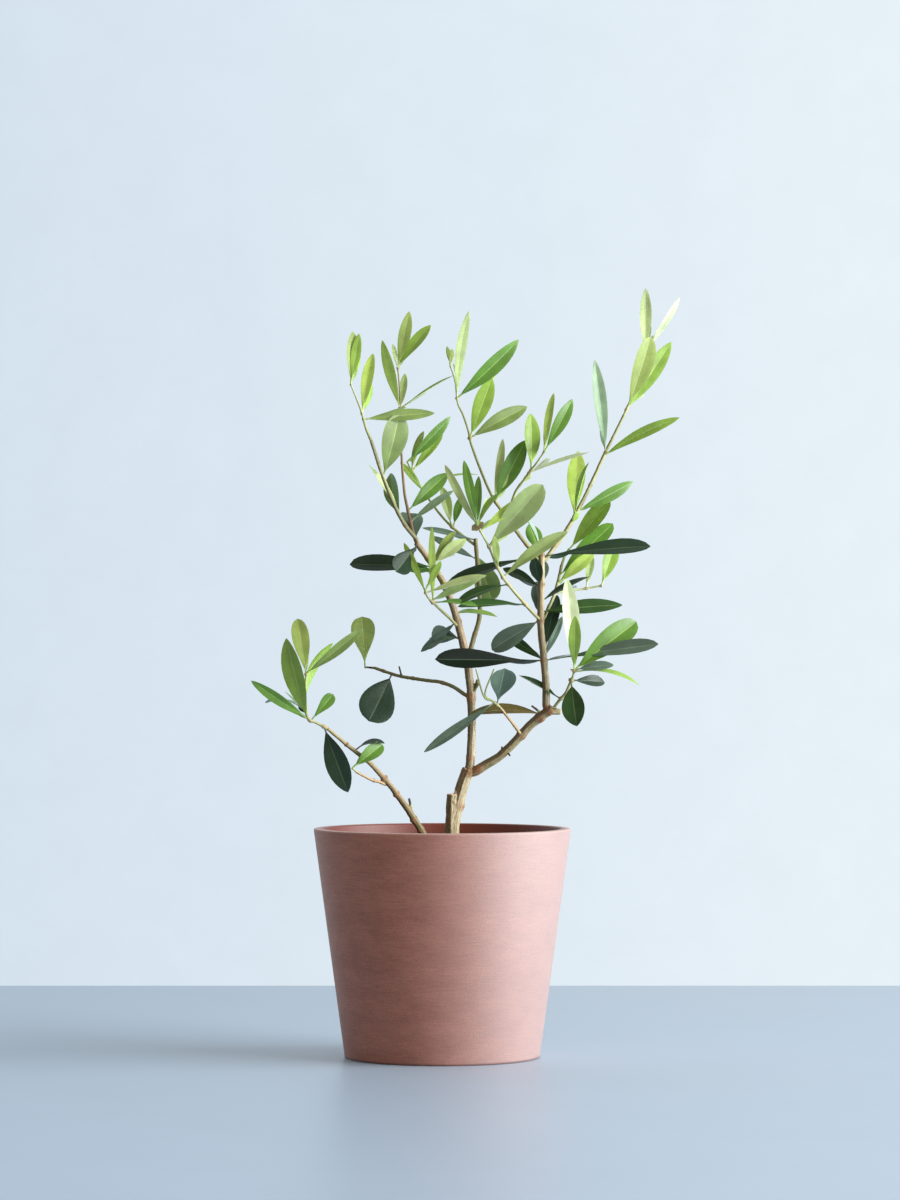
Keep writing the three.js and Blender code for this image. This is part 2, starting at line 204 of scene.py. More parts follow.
# %% The window light on the right
WINDOW_PLACE = Vector((4.6, -1.35, 1.45))
WINDOW_AIM = Vector((0, 0, 0.2))
WINDOW_WIDE = 5.0
WINDOW_HIGH = 3.2
WINDOW_POWER = 570
pane = bpy.data.lights.new("window", "AREA")
pane.shape = "RECTANGLE"
pane.size = WINDOW_WIDE
pane.size_y = WINDOW_HIGH
pane.energy = WINDOW_POWER
pane.color = colour("#fafcff")[:3]
aim(bpy.data.objects.new("window", pane), WINDOW_PLACE, WINDOW_AIM)
print("the window is", round((WINDOW_PLACE - WINDOW_AIM).length, 2), "m away")

# %% [markdown]
# ## The pot
#
# The real pot is pressed from a stone-like clay: dead matt, straight sided, with a thick wall
# and a softly rounded lip. A lathe profile would make it, and so would a cone that is hollowed
# by hand. The second way is used here, because each step is one that a learner can repeat:
# a cone, an inset on its top face, an extrusion down for the hollow, and a bevel on the edges.
# The radii are read off the frame's own pot, so the new one can't drift from it.

# %% Read the pot's sizes from the frame
POT_SIDES = 144
EDGE = 1.2 * MM
NODE_GAP = 0.3 * MM


def read(mesh, what="co"):
    """The places of a mesh's points as an array, or their normals."""
    flat = np.empty(len(mesh.vertices) * 3, np.float32)
    mesh.vertices.foreach_get(what, flat)
    return flat.reshape(-1, 3).astype(float)


def radii_at(name, height):
    """The least and the greatest distance from the pot's middle of a node's corners at a height."""
    found = read(nodes[name].data)
    found = found[np.abs(found[:, 2] - height) < 0.2 * MM]
    reach = np.hypot(found[:, 0], found[:, 1])
    return reach.min(), reach.max()


pot_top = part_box("pot")[1].z
compost_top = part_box("compost")[1].z
floor_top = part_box("compost")[0].z - NODE_GAP
mouth_radius, rim_radius = radii_at("pot", pot_top - EDGE)
foot_radius = radii_at("pot", EDGE)[1]
floor_radius = radii_at("pot", floor_top)[1]
lean = (rim_radius - foot_radius) / (pot_top - 2 * EDGE)
print("pot radii in mm: rim", round(rim_radius / MM, 1), "mouth", round(mouth_radius / MM, 1),
      "foot", round(foot_radius / MM, 1), "floor", round(floor_radius / MM, 1))

# %% Turn the pot
def choose(piece, test, kind="FACE"):
    """In edit mode, selects only the faces or edges whose middle and normal pass the test."""
    bpy.ops.mesh.select_mode(type=kind)
    bpy.ops.mesh.select_all(action="DESELECT")
    bpy.ops.object.mode_set(mode="OBJECT")
    mesh = piece.data
    if kind == "FACE":
        for face in mesh.polygons:
            face.select = bool(test(face.center, face.normal))
    else:
        for edge in mesh.edges:
            ends = [mesh.vertices[v].co for v in edge.vertices]
            edge.select = bool(test((ends[0] + ends[1]) / 2, ends[0] - ends[1]))
    bpy.ops.object.mode_set(mode="EDIT")


def looks_up(middle, normal):
    """The test for a face that lies level and looks up."""
    return normal.z > 0.9


bpy.ops.object.select_all(action="DESELECT")
bpy.ops.mesh.primitive_cone_add(vertices=POT_SIDES, radius1=foot_radius - lean * EDGE,
                                radius2=rim_radius + lean * EDGE, depth=pot_top,
                                location=(0, 0, pot_top / 2))
pot = bpy.context.object
pot.name = "clay_pot"
bpy.ops.object.transform_apply(location=True, rotation=True, scale=True)
bpy.ops.object.mode_set(mode="EDIT")
choose(pot, looks_up)
bpy.ops.mesh.inset(thickness=rim_radius - mouth_radius)
bpy.ops.mesh.extrude_region_move(TRANSFORM_OT_translate={"value": (0, 0, floor_top - pot_top)})
shrink = floor_radius / (mouth_radius + lean * EDGE)
bpy.ops.transform.resize(value=(shrink, shrink, 1))
choose(pot, lambda middle, run: abs(run.z) < MM and middle.xy.length > floor_radius / 2, "EDGE")
bpy.ops.mesh.bevel(offset=EDGE, segments=6, affect="EDGES")
bpy.ops.object.mode_set(mode="OBJECT")
bpy.ops.object.shade_smooth_by_angle(angle=math.radians(50))
print("clay pot:", len(pot.data.polygons), "faces")

# %% [markdown]
# ## The clay's finish
#
# Pressed and fired clay has no shine of its own, but light that grazes it turns it paler, and
# that paleness is painted on: the side towards the window is painted paler, a painted highlight.
# Its skin keeps fine level lines from the brush that smoothed it while the pot turned, cloudy
# patches a few centimetres wide where it dried unevenly, and scattered dark grains. The lip is
# paler, because its edge is rubbed. The inside of the pot is painted darker, painted shade, and
# so is a thin line at the foot, a painted contact shadow. A maker's place on the front is left
# bare.

# %% Pressed clay, brushed and fired
LINE_HIGH = 0.9 * MM
LINE_LONG = 13 * MM
CLOUD_LONG = 40 * MM
CLOUD_HIGH = 17 * MM
GRAIN_SIZE = 1.2 * MM
CLAY_RELIEF = 0.4 * MM


def give(piece, name, values, kind="FLOAT"):
    """Stores a value for each point of a piece, for its material to read."""
    layer = piece.data.attributes.new(name, kind, "POINT")
    layer.data.foreach_set("vector" if kind == "FLOAT_VECTOR" else "value",
                           np.asarray(values, np.float32).ravel())


skin = read(pot.data)
wall_middle = foot_radius + lean * skin[:, 2] - (rim_radius - mouth_radius) * 0.5
# The points inside the wall are marked for the painted shade inside the pot.
give(pot, "inside", np.hypot(skin[:, 0], skin[:, 1]) < wall_middle)
clay, tree, shader = new_material("terracotta_clay_brushed")
place = add_node(tree, "ShaderNodeTexCoord").outputs["Object"]
axes = add_node(tree, "ShaderNodeSeparateXYZ", links={"Vector": place}).outputs
drawn_out = add_node(tree, "ShaderNodeMapping", links={"Vector": place},
                     values={"Scale": (1 / LINE_LONG, 1 / LINE_LONG, 1 / LINE_HIGH)})
brush = add_node(tree, "ShaderNodeTexNoise", links={"Vector": drawn_out.outputs["Vector"]},
                 values={"Scale": 1, "Detail": 3, "Roughness": 0.6})
wide = add_node(tree, "ShaderNodeMapping", links={"Vector": place},
                values={"Scale": (1 / CLOUD_LONG, 1 / CLOUD_LONG, 1 / CLOUD_HIGH)})
patches = add_node(tree, "ShaderNodeTexNoise", links={"Vector": wide.outputs["Vector"]},
                   values={"Scale": 1, "Detail": 5, "Roughness": 0.66})
grains = add_node(tree, "ShaderNodeTexNoise", links={"Vector": place},
                  values={"Scale": 1 / GRAIN_SIZE, "Detail": 2})
body = add_node(tree, "ShaderNodeValToRGB", links={"Fac": patches.outputs["Fac"]})
body.color_ramp.elements[0].position = 0.32
body.color_ramp.elements[0].color = colour("#925947")
body.color_ramp.elements[1].position = 0.66
body.color_ramp.elements[1].color = colour("#a56a57")
shade = body.outputs["Color"]
for pattern, darkest, palest in ((brush, 0.88, 1.13), (grains, 0.84, 1.18)):
    uneven = add_node(tree, "ShaderNodeMapRange", links={"Value": pattern.outputs["Fac"]},
                      values={"From Min": 0.3, "From Max": 0.7, "To Min": darkest, "To Max": palest})
    shade = add_node(tree, "ShaderNodeVectorMath", {"operation": "SCALE"},
                     {0: shade, "Scale": uneven.outputs["Result"]}).outputs["Vector"]
inside = add_node(tree, "ShaderNodeAttribute", {"attribute_name": "inside"})
# Dark grains, a painted highlight on the side towards the window, the rubbed lip, painted shade
# inside the pot and a painted contact shadow at the foot: each tint grows from nothing at the
# first value to its full share at the second.
for value, first, second, most, ease, tint in (
    (grains.outputs["Fac"], 0.63, 0.72, 0.5, "LINEAR", "#6f463b"),
    # Painted highlight: the side towards the window turns paler.
    (axes["X"], -45 * MM, 90 * MM, 0.55, "SMOOTHSTEP", "#b1a7a7"),
    (axes["Z"], pot_top - 1.6 * MM, pot_top, 0.45, "LINEAR", "#d0aea2"),
    # Painted shade inside the pot.
    (inside.outputs["Fac"], 0, 1, 1, "LINEAR", "#74301f"),
    # A painted contact shadow along the foot.
    (axes["Z"], 2.2 * MM, 0.8 * MM, 0.6, "LINEAR", "#4a302a"),
):
    share = add_node(tree, "ShaderNodeMapRange", {"interpolation_type": ease}, {"Value": value},
                     {"From Min": first, "From Max": second, "To Max": most})
    laid = add_node(tree, "ShaderNodeMix", {"data_type": "RGBA"},
                    {"Factor": share.outputs["Result"], 6: shade}, {7: colour(tint)})
    shade = laid.outputs[2]
tree.links.new(shade, shader.inputs["Base Color"])
line_bump = add_node(tree, "ShaderNodeBump", links={"Height": brush.outputs["Fac"]},
                     values={"Strength": 0.25, "Distance": CLAY_RELIEF})
grain_bump = add_node(tree, "ShaderNodeBump",
                      links={"Height": grains.outputs["Fac"], "Normal": line_bump.outputs["Normal"]},
                      values={"Strength": 0.3, "Distance": CLAY_RELIEF})
tree.links.new(grain_bump.outputs["Normal"], shader.inputs["Normal"])
shader.inputs["Roughness"].default_value = 0.52
shader.inputs["Specular IOR Level"].default_value = 0.6
shader.inputs["Sheen Weight"].default_value = 0.12
shader.inputs["Sheen Roughness"].default_value = 0.45
pot.data.materials.append(clay)
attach(pot, "root")
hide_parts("pot")
print("clay lines are", round(LINE_HIGH / MM, 1), "mm high")

# %% [markdown]
# ## The compost
#
# The pot is filled to a finger below its lip with dark, crumbly compost. Its surface is a disc
# that is inset ring by ring, so that it has points to raise into low lumps, and thousands of
# crumbs lie on it. A crumb is a ball of twenty faces, copied with its own size and turn, since
# no one sees more of a grain three millimetres across.

# %% The compost's surface
RING_STEPS = 16
LUMP_HIGH = 1.6 * MM
LUMP_WIDE = 14 * MM
SMALL_LUMP_WIDE = 3 * MM
BED_DEEP = 12 * MM
# The bed lies this much lower than the frame's compost, so that its lumps stay about level.
BED_LOWER = 1 * MM
BED_EDGE = 2 * MM


def round_off(piece):
    """Shades all of a piece's faces smoothly."""
    piece.data.polygons.foreach_set("use_smooth", [True] * len(piece.data.polygons))


bed_radius = radii_at("compost", compost_top)[1]
bpy.ops.object.select_all(action="DESELECT")
bpy.ops.mesh.primitive_cylinder_add(vertices=96, radius=bed_radius, depth=BED_DEEP,
                                    location=(0, 0, compost_top - BED_LOWER - BED_DEEP / 2))
bed = bpy.context.object
bed.name = "compost_bed"
bpy.ops.object.transform_apply(location=True, rotation=True, scale=True)
bpy.ops.object.mode_set(mode="EDIT")
choose(bed, looks_up)
for step in range(RING_STEPS):
    bpy.ops.mesh.inset(thickness=bed_radius / (RING_STEPS + 2))
choose(bed, looks_up)
bpy.ops.mesh.subdivide(number_cuts=1)
bpy.ops.object.mode_set(mode="OBJECT")
for v in bed.data.vertices:
    if v.co.z > compost_top - 2 * BED_LOWER and v.co.xy.length < bed_radius - BED_EDGE:
        small = 0.4 * noise.noise(v.co / SMALL_LUMP_WIDE)
        v.co.z += LUMP_HIGH * (noise.noise(v.co / LUMP_WIDE) + small)
round_off(bed)
print("compost bed:", len(bed.data.polygons), "faces")

# %% Crumbs on it
CRUMBS = 2600
CRUMB_SIZE = 2 * MM
CHIP_EVERY = 12


def mesh_object(name, vertices, faces, smooth=True):
    """A mesh object from arrays of corners and faces."""
    mesh = bpy.data.meshes.new(name)
    mesh.from_pydata([tuple(v) for v in vertices], [], [tuple(f) for f in faces])
    mesh.polygons.foreach_set("use_smooth", [smooth] * len(mesh.polygons))
    made = bpy.data.objects.new(name, mesh)
    bpy.context.scene.collection.objects.link(made)
    return made


bpy.ops.object.select_all(action="DESELECT")
bpy.ops.mesh.primitive_ico_sphere_add(subdivisions=1, radius=1)
crumb = bpy.context.object
crumb_points = read(crumb.data)
crumb_faces = [f.vertices[:] for f in crumb.data.polygons]
bpy.data.objects.remove(crumb)
rng = random.Random(77)
points = []
faces = []
for i in range(CRUMBS):
    reach = (bed_radius - 2.5 * MM) * math.sqrt(rng.random())
    angle = rng.uniform(0, 2 * math.pi)
    size = rng.uniform(0.5, 1.1) ** 2 * CRUMB_SIZE
    stretch = np.array([rng.uniform(0.7, 1.6), rng.uniform(0.6, 1.0), rng.uniform(0.5, 0.9)]) * size
    if i % CHIP_EVERY == 0:
        stretch[:2] *= (2.6, 0.7)
    turn = Matrix.Rotation(rng.uniform(0, 6.28), 3, "Z") @ Matrix.Rotation(rng.uniform(-0.5, 0.5), 3, "X")
    rough = crumb_points * (1 + 0.25 * np.array([rng.uniform(-1, 1) for p in crumb_points]))[:, None]
    foot = Vector((reach * math.cos(angle), reach * math.sin(angle), compost_top))
    foot.z += LUMP_HIGH * noise.noise(foot / LUMP_WIDE) + 0.3 * size - 1.1 * MM
    faces += [tuple(len(points) + k for k in f) for f in crumb_faces]
    points += list((rough * stretch) @ np.array(turn).T + np.array(foot))
crumbs = mesh_object("compost_crumbs", points, faces, smooth=False)
print("crumbs:", CRUMBS, "of", len(crumb_faces), "faces")

# %% Compost, a peat and bark mix
def compost_material(name, dark, light, patch_size):
    """Damp peat: nearly black, with paler bits."""
    material, tree, shader = new_material(name)
    place = add_node(tree, "ShaderNodeTexCoord").outputs["Object"]
    bits = add_node(tree, "ShaderNodeTexNoise", links={"Vector": place},
                    values={"Scale": 1 / patch_size, "Detail": 4, "Roughness": 0.7})
    tint = add_node(tree, "ShaderNodeValToRGB", links={"Fac": bits.outputs["Fac"]})
    tint.color_ramp.elements[0].position = 0.35
    tint.color_ramp.elements[0].color = colour(dark)
    tint.color_ramp.elements[1].position = 0.72
    tint.color_ramp.elements[1].color = colour(light)
    tree.links.new(tint.outputs["Color"], shader.inputs["Base Color"])
    bump = add_node(tree, "ShaderNodeBump", links={"Height": bits.outputs["Fac"]},
                    values={"Strength": 0.7, "Distance": 0.8 * MM})
    tree.links.new(bump.outputs["Normal"], shader.inputs["Normal"])
    shader.inputs["Roughness"].default_value = 0.9
    return material


bed.data.materials.append(compost_material("peat_compost_damp", "#1d140e", "#4a3626", 4 * MM))
crumbs.data.materials.append(compost_material("peat_crumbs_damp", "#21160f", "#6b4f38", 7 * MM))
for piece in (bed, crumbs):
    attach(piece, "root")
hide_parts("compost")
print("compost finishes:", [piece.data.materials[0].name for piece in (bed, crumbs)])

# %% [markdown]
# ## The limbs' middle lines
#
# Each limb of the frame is a faceted tube. Cutting its faces at even steps along its length
# gives rings, and the middle of each ring is a point that the real limb runs through. So the
# new wood follows the frame exactly, and a limb that moves there moves here too.

# %% Read a middle line off a limb
CUT_STEP = 11 * MM
FINE_STEP = 1.5 * MM
# The circle through the corners of a six-sided ring is this many times as long as the ring.
THICKER = 2 * math.pi / 6


def middle_line(name, shares):
    """Points along the middle of a limb, each with the limb's radius there, from cuts across it."""
    mesh = nodes[name].data
    faces = read(mesh)[np.array([f.vertices[:] for f in mesh.polygons])]
    centre = faces.reshape(-1, 3).mean(0)
    run = np.linalg.eigh(np.cov((faces.reshape(-1, 3) - centre).T))[1][:, -1]
    run = run * np.sign(run[2])
    reach = (faces - centre) @ run
    found = []
    for share in shares:
        level = reach.min() + share * (reach.max() - reach.min())
        above = reach > level
        cut = above.any(1) & ~above.all(1)
        ends = []
        for a, b in ((0, 1), (1, 2), (2, 0)):
            crossed = (above[cut, a] != above[cut, b])[:, None]
            part = (level - reach[cut, a]) / (reach[cut, b] - reach[cut, a] + 1e-12)
            point = faces[cut, a] + part[:, None] * (faces[cut, b] - faces[cut, a])
            ends.append(np.where(crossed, point, np.nan))
        middles = np.nanmean(ends, axis=0)
        lengths = 2 * np.nanmax(np.linalg.norm(np.array(ends) - middles, axis=2), axis=0)
        ring = (middles * lengths[:, None]).sum(0) / lengths.sum()
        found.append([*ring, THICKER * lengths.sum() / (2 * math.pi)])
    line = np.array(found)
    steps = np.gradient(line[:, :3], axis=0)
    tilt = np.abs(steps @ run) / np.linalg.norm(steps, axis=1)
    line[:, 3] *= 2 * tilt / (1 + tilt)
    return line


def limb_shares(name):
    """Even cuts along a limb, the first and last just inside its ends."""
    low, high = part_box(name)
    count = max(5, round((high - low).length / CUT_STEP))
    return np.linspace(0.02, 0.98, count)


def fine_line(line):
    """The same line as a smooth curve through its points, with a point every fine step."""
    line = np.asarray(line, float)
    padded = np.vstack([2 * line[0] - line[1], line, 2 * line[-1] - line[-2]])
    made = []
    for i in range(1, len(padded) - 2):
        before, start, end, after = padded[i - 1:i + 3]
        pieces = max(1, round(np.linalg.norm((end - start)[:3]) / FINE_STEP))
        for way in np.arange(pieces) / pieces:
            made.append(0.5 * (2 * start + (end - before) * way
                               + (2 * before - 5 * start + 4 * end - after) * way ** 2
                               + (3 * start - before - 3 * end + after) * way ** 3))
    return np.array(made + [line[-1]])


print("a limb is cut every", round(CUT_STEP / MM), "mm")

# %% Every limb and its line
# Each limb, with the one that it grows from and its kind of bark.
LIMBS = {
    "trunk": (None, "old"),
    "left_leader": ("trunk", "old"),
    "right_bough": ("trunk", "old"),
    "right_upright": ("right_bough", "old"),
    "right_arm": ("right_upright", "old"),
    "left_arm": ("right_upright", "old"),
    "second_upright": ("left_leader", "old"),
    "outer_shoot": ("left_leader", "old"),
    "right_shoot": ("right_upright", "old"),
    "side_twig": ("left_leader", "old"),
    "inner_shoot": ("left_leader", "red"),
    "back_shoot": ("second_upright", "green"),
    "centre_shoot": ("left_arm", "green"),
    "fan_shoot": ("left_arm", "green"),
    "front_shoot": ("right_upright", "green"),
    "leader_shoot": ("left_leader", "green"),
    "bough_twig": ("right_bough", "old"),
    "elbow_shoot": ("right_bough", "green"),
    "low_stem": (None, "old"),
    "low_twig": ("low_stem", "old"),
}
# The trunk is cut only where it is whole, and a stem that stands in the compost starts this far
# below its surface.
TRUNK_CUTS = (0.14, 0.24, 0.36, 0.44, 0.80, 0.98)
SUNK = 4 * MM
lines = {}
for name, (parent, kind) in LIMBS.items():
    shares = TRUNK_CUTS if name == "trunk" else limb_shares(name)
    line = middle_line(name, shares)
    line[[0, -1], 3] = line[[1, -2], 3]
    if parent:
        away = np.linalg.norm(lines[parent][:, :3] - line[0, :3], axis=1)
        foot = [*lines[parent][away.argmin(), :3], line[0, 3]]
    else:
        drop = (line[0, 2] - compost_top + SUNK) / (line[1, 2] - line[0, 2])
        foot = line[0] + (line[0] - line[1]) * drop
    lines[name] = fine_line(np.vstack([foot, line]))
print("limbs read, with their radii in mm at foot and tip:",
      {name: (round(line[0, 3] / MM, 1), round(line[-1, 3] / MM, 1)) for name, line in lines.items()})

# %% [markdown]
# ## The wood
#
# Old olive wood is a smooth grey-brown skin over long low ridges, with a swollen ring wherever a
# pair of leaves once sat, a knob where a shoot leaves its limb, and a flat pale face where a
# stem was cut back. Each limb is drawn as a round tube whose thickness follows its middle line,
# as a sculptor builds an armature. A voxel remesh then fuses the tubes into one skin with no
# seams at the forks, and the ridges, rings and knobs are raised by moving its points.

# %% Tubes along the lines
def pick(*objects):
    """Selects just these objects and makes the first one active."""
    bpy.ops.object.select_all(action="DESELECT")
    for one in objects:
        one.select_set(True)
    bpy.context.view_layer.objects.active = objects[0]


def tube(name, line, sides=3):
    """A closed round tube along a line of points and radii. It has four times as many sides."""
    curve = bpy.data.curves.new(name, "CURVE")
    curve.dimensions = "3D"
    curve.bevel_depth = 1
    curve.bevel_resolution = sides - 1
    curve.use_fill_caps = True
    spline = curve.splines.new("POLY")
    spline.points.add(len(line) - 1)
    for point, (x, y, z, radius) in zip(spline.points, line):
        point.co = (x, y, z, 1)
        point.radius = radius
    made = bpy.data.objects.new(name, curve)
    bpy.context.scene.collection.objects.link(made)
    pick(made)
    bpy.ops.object.convert(target="MESH")
    return bpy.context.object


def joined(name, parts):
    """Several mesh objects joined into one piece."""
    pick(*parts)
    if len(parts) > 1:
        bpy.ops.object.join()
    made = bpy.context.object
    made.name = name
    made.data.name = name
    return made


print("a trunk of", len(lines["trunk"]), "rings is the first tube")

# %% Dead ends and swollen rings on the old wood
# The dead ends: a limb, how far along it they sit, where they point and how far, in mm, and
# their radii at foot and end.
STUBS = [
    ("trunk", 0.02, (1.8, -2.2, 54), 5.2, 4.3),
    ("low_stem", 0.29, (-3.3, -2, 15.5), 1.0, 0.8),
    ("left_leader", 0.29, (5, -2, 16), 1.4, 1.2),
    ("left_leader", 0.31, (6, -4, 9), 1.6, 1.0),
    ("right_bough", 0.36, (0.3, -1, 6.5), 0.5, 0.4),
    ("right_bough", 0.42, (2.5, -3, -4.5), 0.9, 0.6),
    ("right_bough", 0.97, (9, 1, -1), 3.0, 2.2),
    ("right_bough", 0.90, (-9, -4, 7), 1.0, 0.7),
    ("right_upright", 0.97, (0, 0, 5), 2.3, 2.0),
    ("second_upright", 0.97, (0, 0.5, 4), 1.6, 1.4),
    ("side_twig", 0.72, (-2, -3, 8), 0.8, 0.5),
    ("side_twig", 0.98, (-7, 3, 1), 0.8, 0.5),
]
# The swollen rings of each limb: how far along it each one is, how high it stands and how long
# it is, in mm.
RINGS = {
    "trunk": [(0.62, 0.7, 3.0), (0.98, 0.5, 3.5)],
    "left_leader": [(0.05, 0.3, 2.5), (0.30, 0.8, 4.0), (0.45, 0.35, 1.6), (0.62, 0.4, 1.8),
                    (0.78, 0.35, 1.6), (0.92, 0.35, 1.6)],
    "right_bough": [(0.10, 0.6, 4.0), (0.38, 0.25, 2.0), (0.62, 0.6, 2.4), (0.86, 0.7, 2.6),
                    (0.97, 0.6, 3.0)],
    "right_upright": [(0.02, 0.5, 3.0), (0.31, 0.4, 1.6), (0.56, 0.5, 1.6), (0.78, 0.4, 1.5),
                      (0.96, 0.4, 2.0)],
    "right_arm": [(0.12, 0.3, 1.4), (0.34, 0.3, 1.2), (0.55, 0.3, 1.2), (0.76, 0.25, 1.2)],
    "left_arm": [(0.30, 0.3, 1.3), (0.66, 0.3, 1.3)],
    "second_upright": [(0.25, 0.3, 1.4), (0.52, 0.3, 1.4), (0.80, 0.3, 1.4)],
    "outer_shoot": [(0.2, 0.25, 1.2), (0.5, 0.25, 1.2), (0.8, 0.2, 1.2)],
    "right_shoot": [(0.5, 0.25, 1.2)],
    "side_twig": [(0.30, 0.3, 1.3), (0.60, 0.3, 1.3), (0.90, 0.3, 1.4)],
    "low_stem": [(0.22, 0.6, 1.2), (0.29, 0.8, 1.4), (0.46, 0.7, 1.4), (0.57, 1.1, 1.6), (0.74, 0.7, 1.1),
                 (0.86, 0.5, 1.1)],
    "low_twig": [(0.45, 0.5, 1.0)],
}
print("dead ends:", len(STUBS), "and swollen rings:", sum(len(rings) for rings in RINGS.values()))

# %% Fuse the old wood
VOXEL = 0.53 * MM


def stub_line(limb, along, reach, foot, end):
    """A short straight line out of a limb, with its radii."""
    line = lines[limb]
    start = line[round(along * (len(line) - 1)), :3]
    steps = np.linspace(0, 1, 6)[:, None]
    points = start + steps * np.array(reach) * MM
    return np.hstack([points, (foot + (end - foot) * steps) * MM])


old_limbs = [name for name, (parent, kind) in LIMBS.items() if kind == "old"]
stub_lines = [stub_line(*row) for row in STUBS]
parts = [tube(name, lines[name]) for name in old_limbs] + [tube("stub", line) for line in stub_lines]
wood = joined("olive_wood", parts)
wood.data.remesh_voxel_size = VOXEL
bpy.ops.object.voxel_remesh()
smooth = wood.modifiers.new("smooth", "SMOOTH")
smooth.factor = 0.5
smooth.iterations = 3
bpy.ops.object.modifier_apply(modifier=smooth.name)
print("fused wood:", len(wood.data.vertices), "points")

# %% Where each point of the skin sits on its limb
def way_along(line):
    """How far along a line each of its points is."""
    return np.concatenate([[0], np.cumsum(np.linalg.norm(np.diff(line[:, :3], axis=0), axis=1))])


def nearest_of(points, places, radii=0, block=4000):
    """For each point the nearest place, or the nearest tube's skin if the places have radii."""
    found = []
    for i in range(0, len(points), block):
        away = np.linalg.norm(points[i:i + block, None] - places[None], axis=2) - radii
        found.append(away.argmin(1))
    return np.concatenate(found)


# Each spot holds a place, its radius, the way its line runs there, how far along it is, how long
# the line is, and the number of the limb. The dead ends share the number after the last limb.
spots = []
for number, name in enumerate(old_limbs):
    line = lines[name]
    run = np.gradient(line[:, :3], axis=0)
    run /= np.linalg.norm(run, axis=1)[:, None]
    gone = way_along(line)
    spots += [[*line[i], *run[i], gone[i], gone[-1], number] for i in range(len(line))]
for line in stub_lines:
    length = np.linalg.norm(line[-1, :3] - line[0, :3])
    run = (line[-1, :3] - line[0, :3]) / length
    spots += [[*row, *run, length * i / (len(line) - 1), length, len(old_limbs)]
              for i, row in enumerate(line)]
spots = np.array(spots)
skin = read(wood.data)
spot = spots[nearest_of(skin, spots[:, :3], spots[:, 3])]
middle, radius, run, gone, length = spot[:, :3], spot[:, 3], spot[:, 4:7], spot[:, 7], spot[:, 8]
limb_of = spot[:, 9].astype(int)
out = skin - middle
ahead = (out * run).sum(1)
out -= ahead[:, None] * run
side = np.cross(run, (0, 1, 0))
side /= np.linalg.norm(side, axis=1)[:, None]
turn = np.arctan2((out * side).sum(1), (out * np.cross(side, run)).sum(1))
reach = np.linalg.norm(out, axis=1)
along = gone + ahead
print("the skin stands", round(float(np.mean(reach - radius)) / MM, 2), "mm from the tubes on average")

# %% Raise the ridges, rings and knobs
# Ridges round a limb: how many, how high as a share of its radius, and where they start.
RIDGES = ((3, 0.030, 0.0), (5, 0.018, 1.3), (8, 0.012, 2.1), (13, 0.008, 4.0))
RIDGE_DRIFT = 9 * MM
LUMP = 0.16 * MM
LUMP_SIZE = 2.6 * MM
# Smoothing the fused skin shrank it by this much.
SHRUNK = 0.15 * MM
raised = np.full(len(skin), SHRUNK)
for count, share, offset in RIDGES:
    drift = offset + 2.3 * limb_of + 0.9 * np.sin(along / RIDGE_DRIFT + offset)
    raised += share * radius * np.cos(count * turn + drift)
scar = np.zeros(len(skin))
for limb, rings in RINGS.items():
    here = limb_of == old_limbs.index(limb)
    for share, height, long in rings:
        ring = np.exp(-((along - share * length) / (long * MM)) ** 2) * here
        uneven = 0.75 + 0.45 * np.cos(2 * turn + 5 * share)
        raised += height * MM * ring * uneven
        scar = np.maximum(scar, ring * uneven * min(1, height / 0.5))
raised += LUMP * np.array([noise.noise(Vector(point) / LUMP_SIZE) for point in skin])
wood.data.update()
normals = read(wood.data, "normal")
moved = skin + raised[:, None] * normals
wood.data.vertices.foreach_set("co", moved.astype(np.float32).ravel())
wood.data.update()
round_off(wood)
print("olive wood:", len(wood.data.polygons), "faces")

# %% Store what the bark needs to know
CUT_LEAST = 1.9 * MM
DEAD_MOST = 0.85 * MM
YOUNG_MOST = 2.6 * MM
# How mossy and how tan each limb's bark is, from 0 to 1.
MOSSY = {"low_stem": 1.0, "right_bough": 0.7, "side_twig": 0.6, "second_upright": 0.35, "trunk": 0.2}
TAN = {"low_stem": 0.5, "bough_twig": 1, "low_twig": 1, "left_leader": 0.7, "right_upright": 0.25}


def on(limb):
    """Which points of the wood are on a limb."""
    return limb_of == old_limbs.index(limb)


def by_limb(values, on_stubs):
    """For each point of the wood, the value of the limb that it is on."""
    return np.array([values.get(name, 0) for name in old_limbs] + [on_stubs])[limb_of]


on_stub = limb_of == len(old_limbs)
give(wood, "grain", np.stack([reach * np.cos(turn), reach * np.sin(turn), along + limb_of], axis=1),
     "FLOAT_VECTOR")
give(wood, "scar", scar)
give(wood, "cut", on_stub & (radius > CUT_LEAST) & (along > length - 0.3 * MM))
give(wood, "dead", on_stub & (radius < DEAD_MOST))
give(wood, "youth", np.clip((YOUNG_MOST - radius) / (1.6 * MM), 0, 1))
# Painted shade: the side away from the window is darker, and so is the upper side of the right bough.
dark_side = 0.42 - 1.5 * normals[:, 0]
dark_side[on("right_bough")] = (0.45 + 1.1 * normals[:, 2] - 0.5 * normals[:, 0])[on("right_bough")]
dark_side[on("side_twig")] *= 0.5
give(wood, "shade_side", np.clip(dark_side, 0, 1))
# Moss thins out with the low stem, and a half-tan limb turns tan some way up.
thinning = np.where(on("low_stem"), np.clip((radius - 1.2 * MM) / (1.2 * MM), 0, 1), 1)
give(wood, "moss", by_limb(MOSSY, 0.1) * thinning)
tan = by_limb(TAN, 0)
give(wood, "tan", np.where(tan < 1, tan * np.clip(4 * along / length - 1, 0, 1), tan))
print("cut or dead ends take up", round(100 * float(on_stub.mean()), 1), "% of the wood's points")

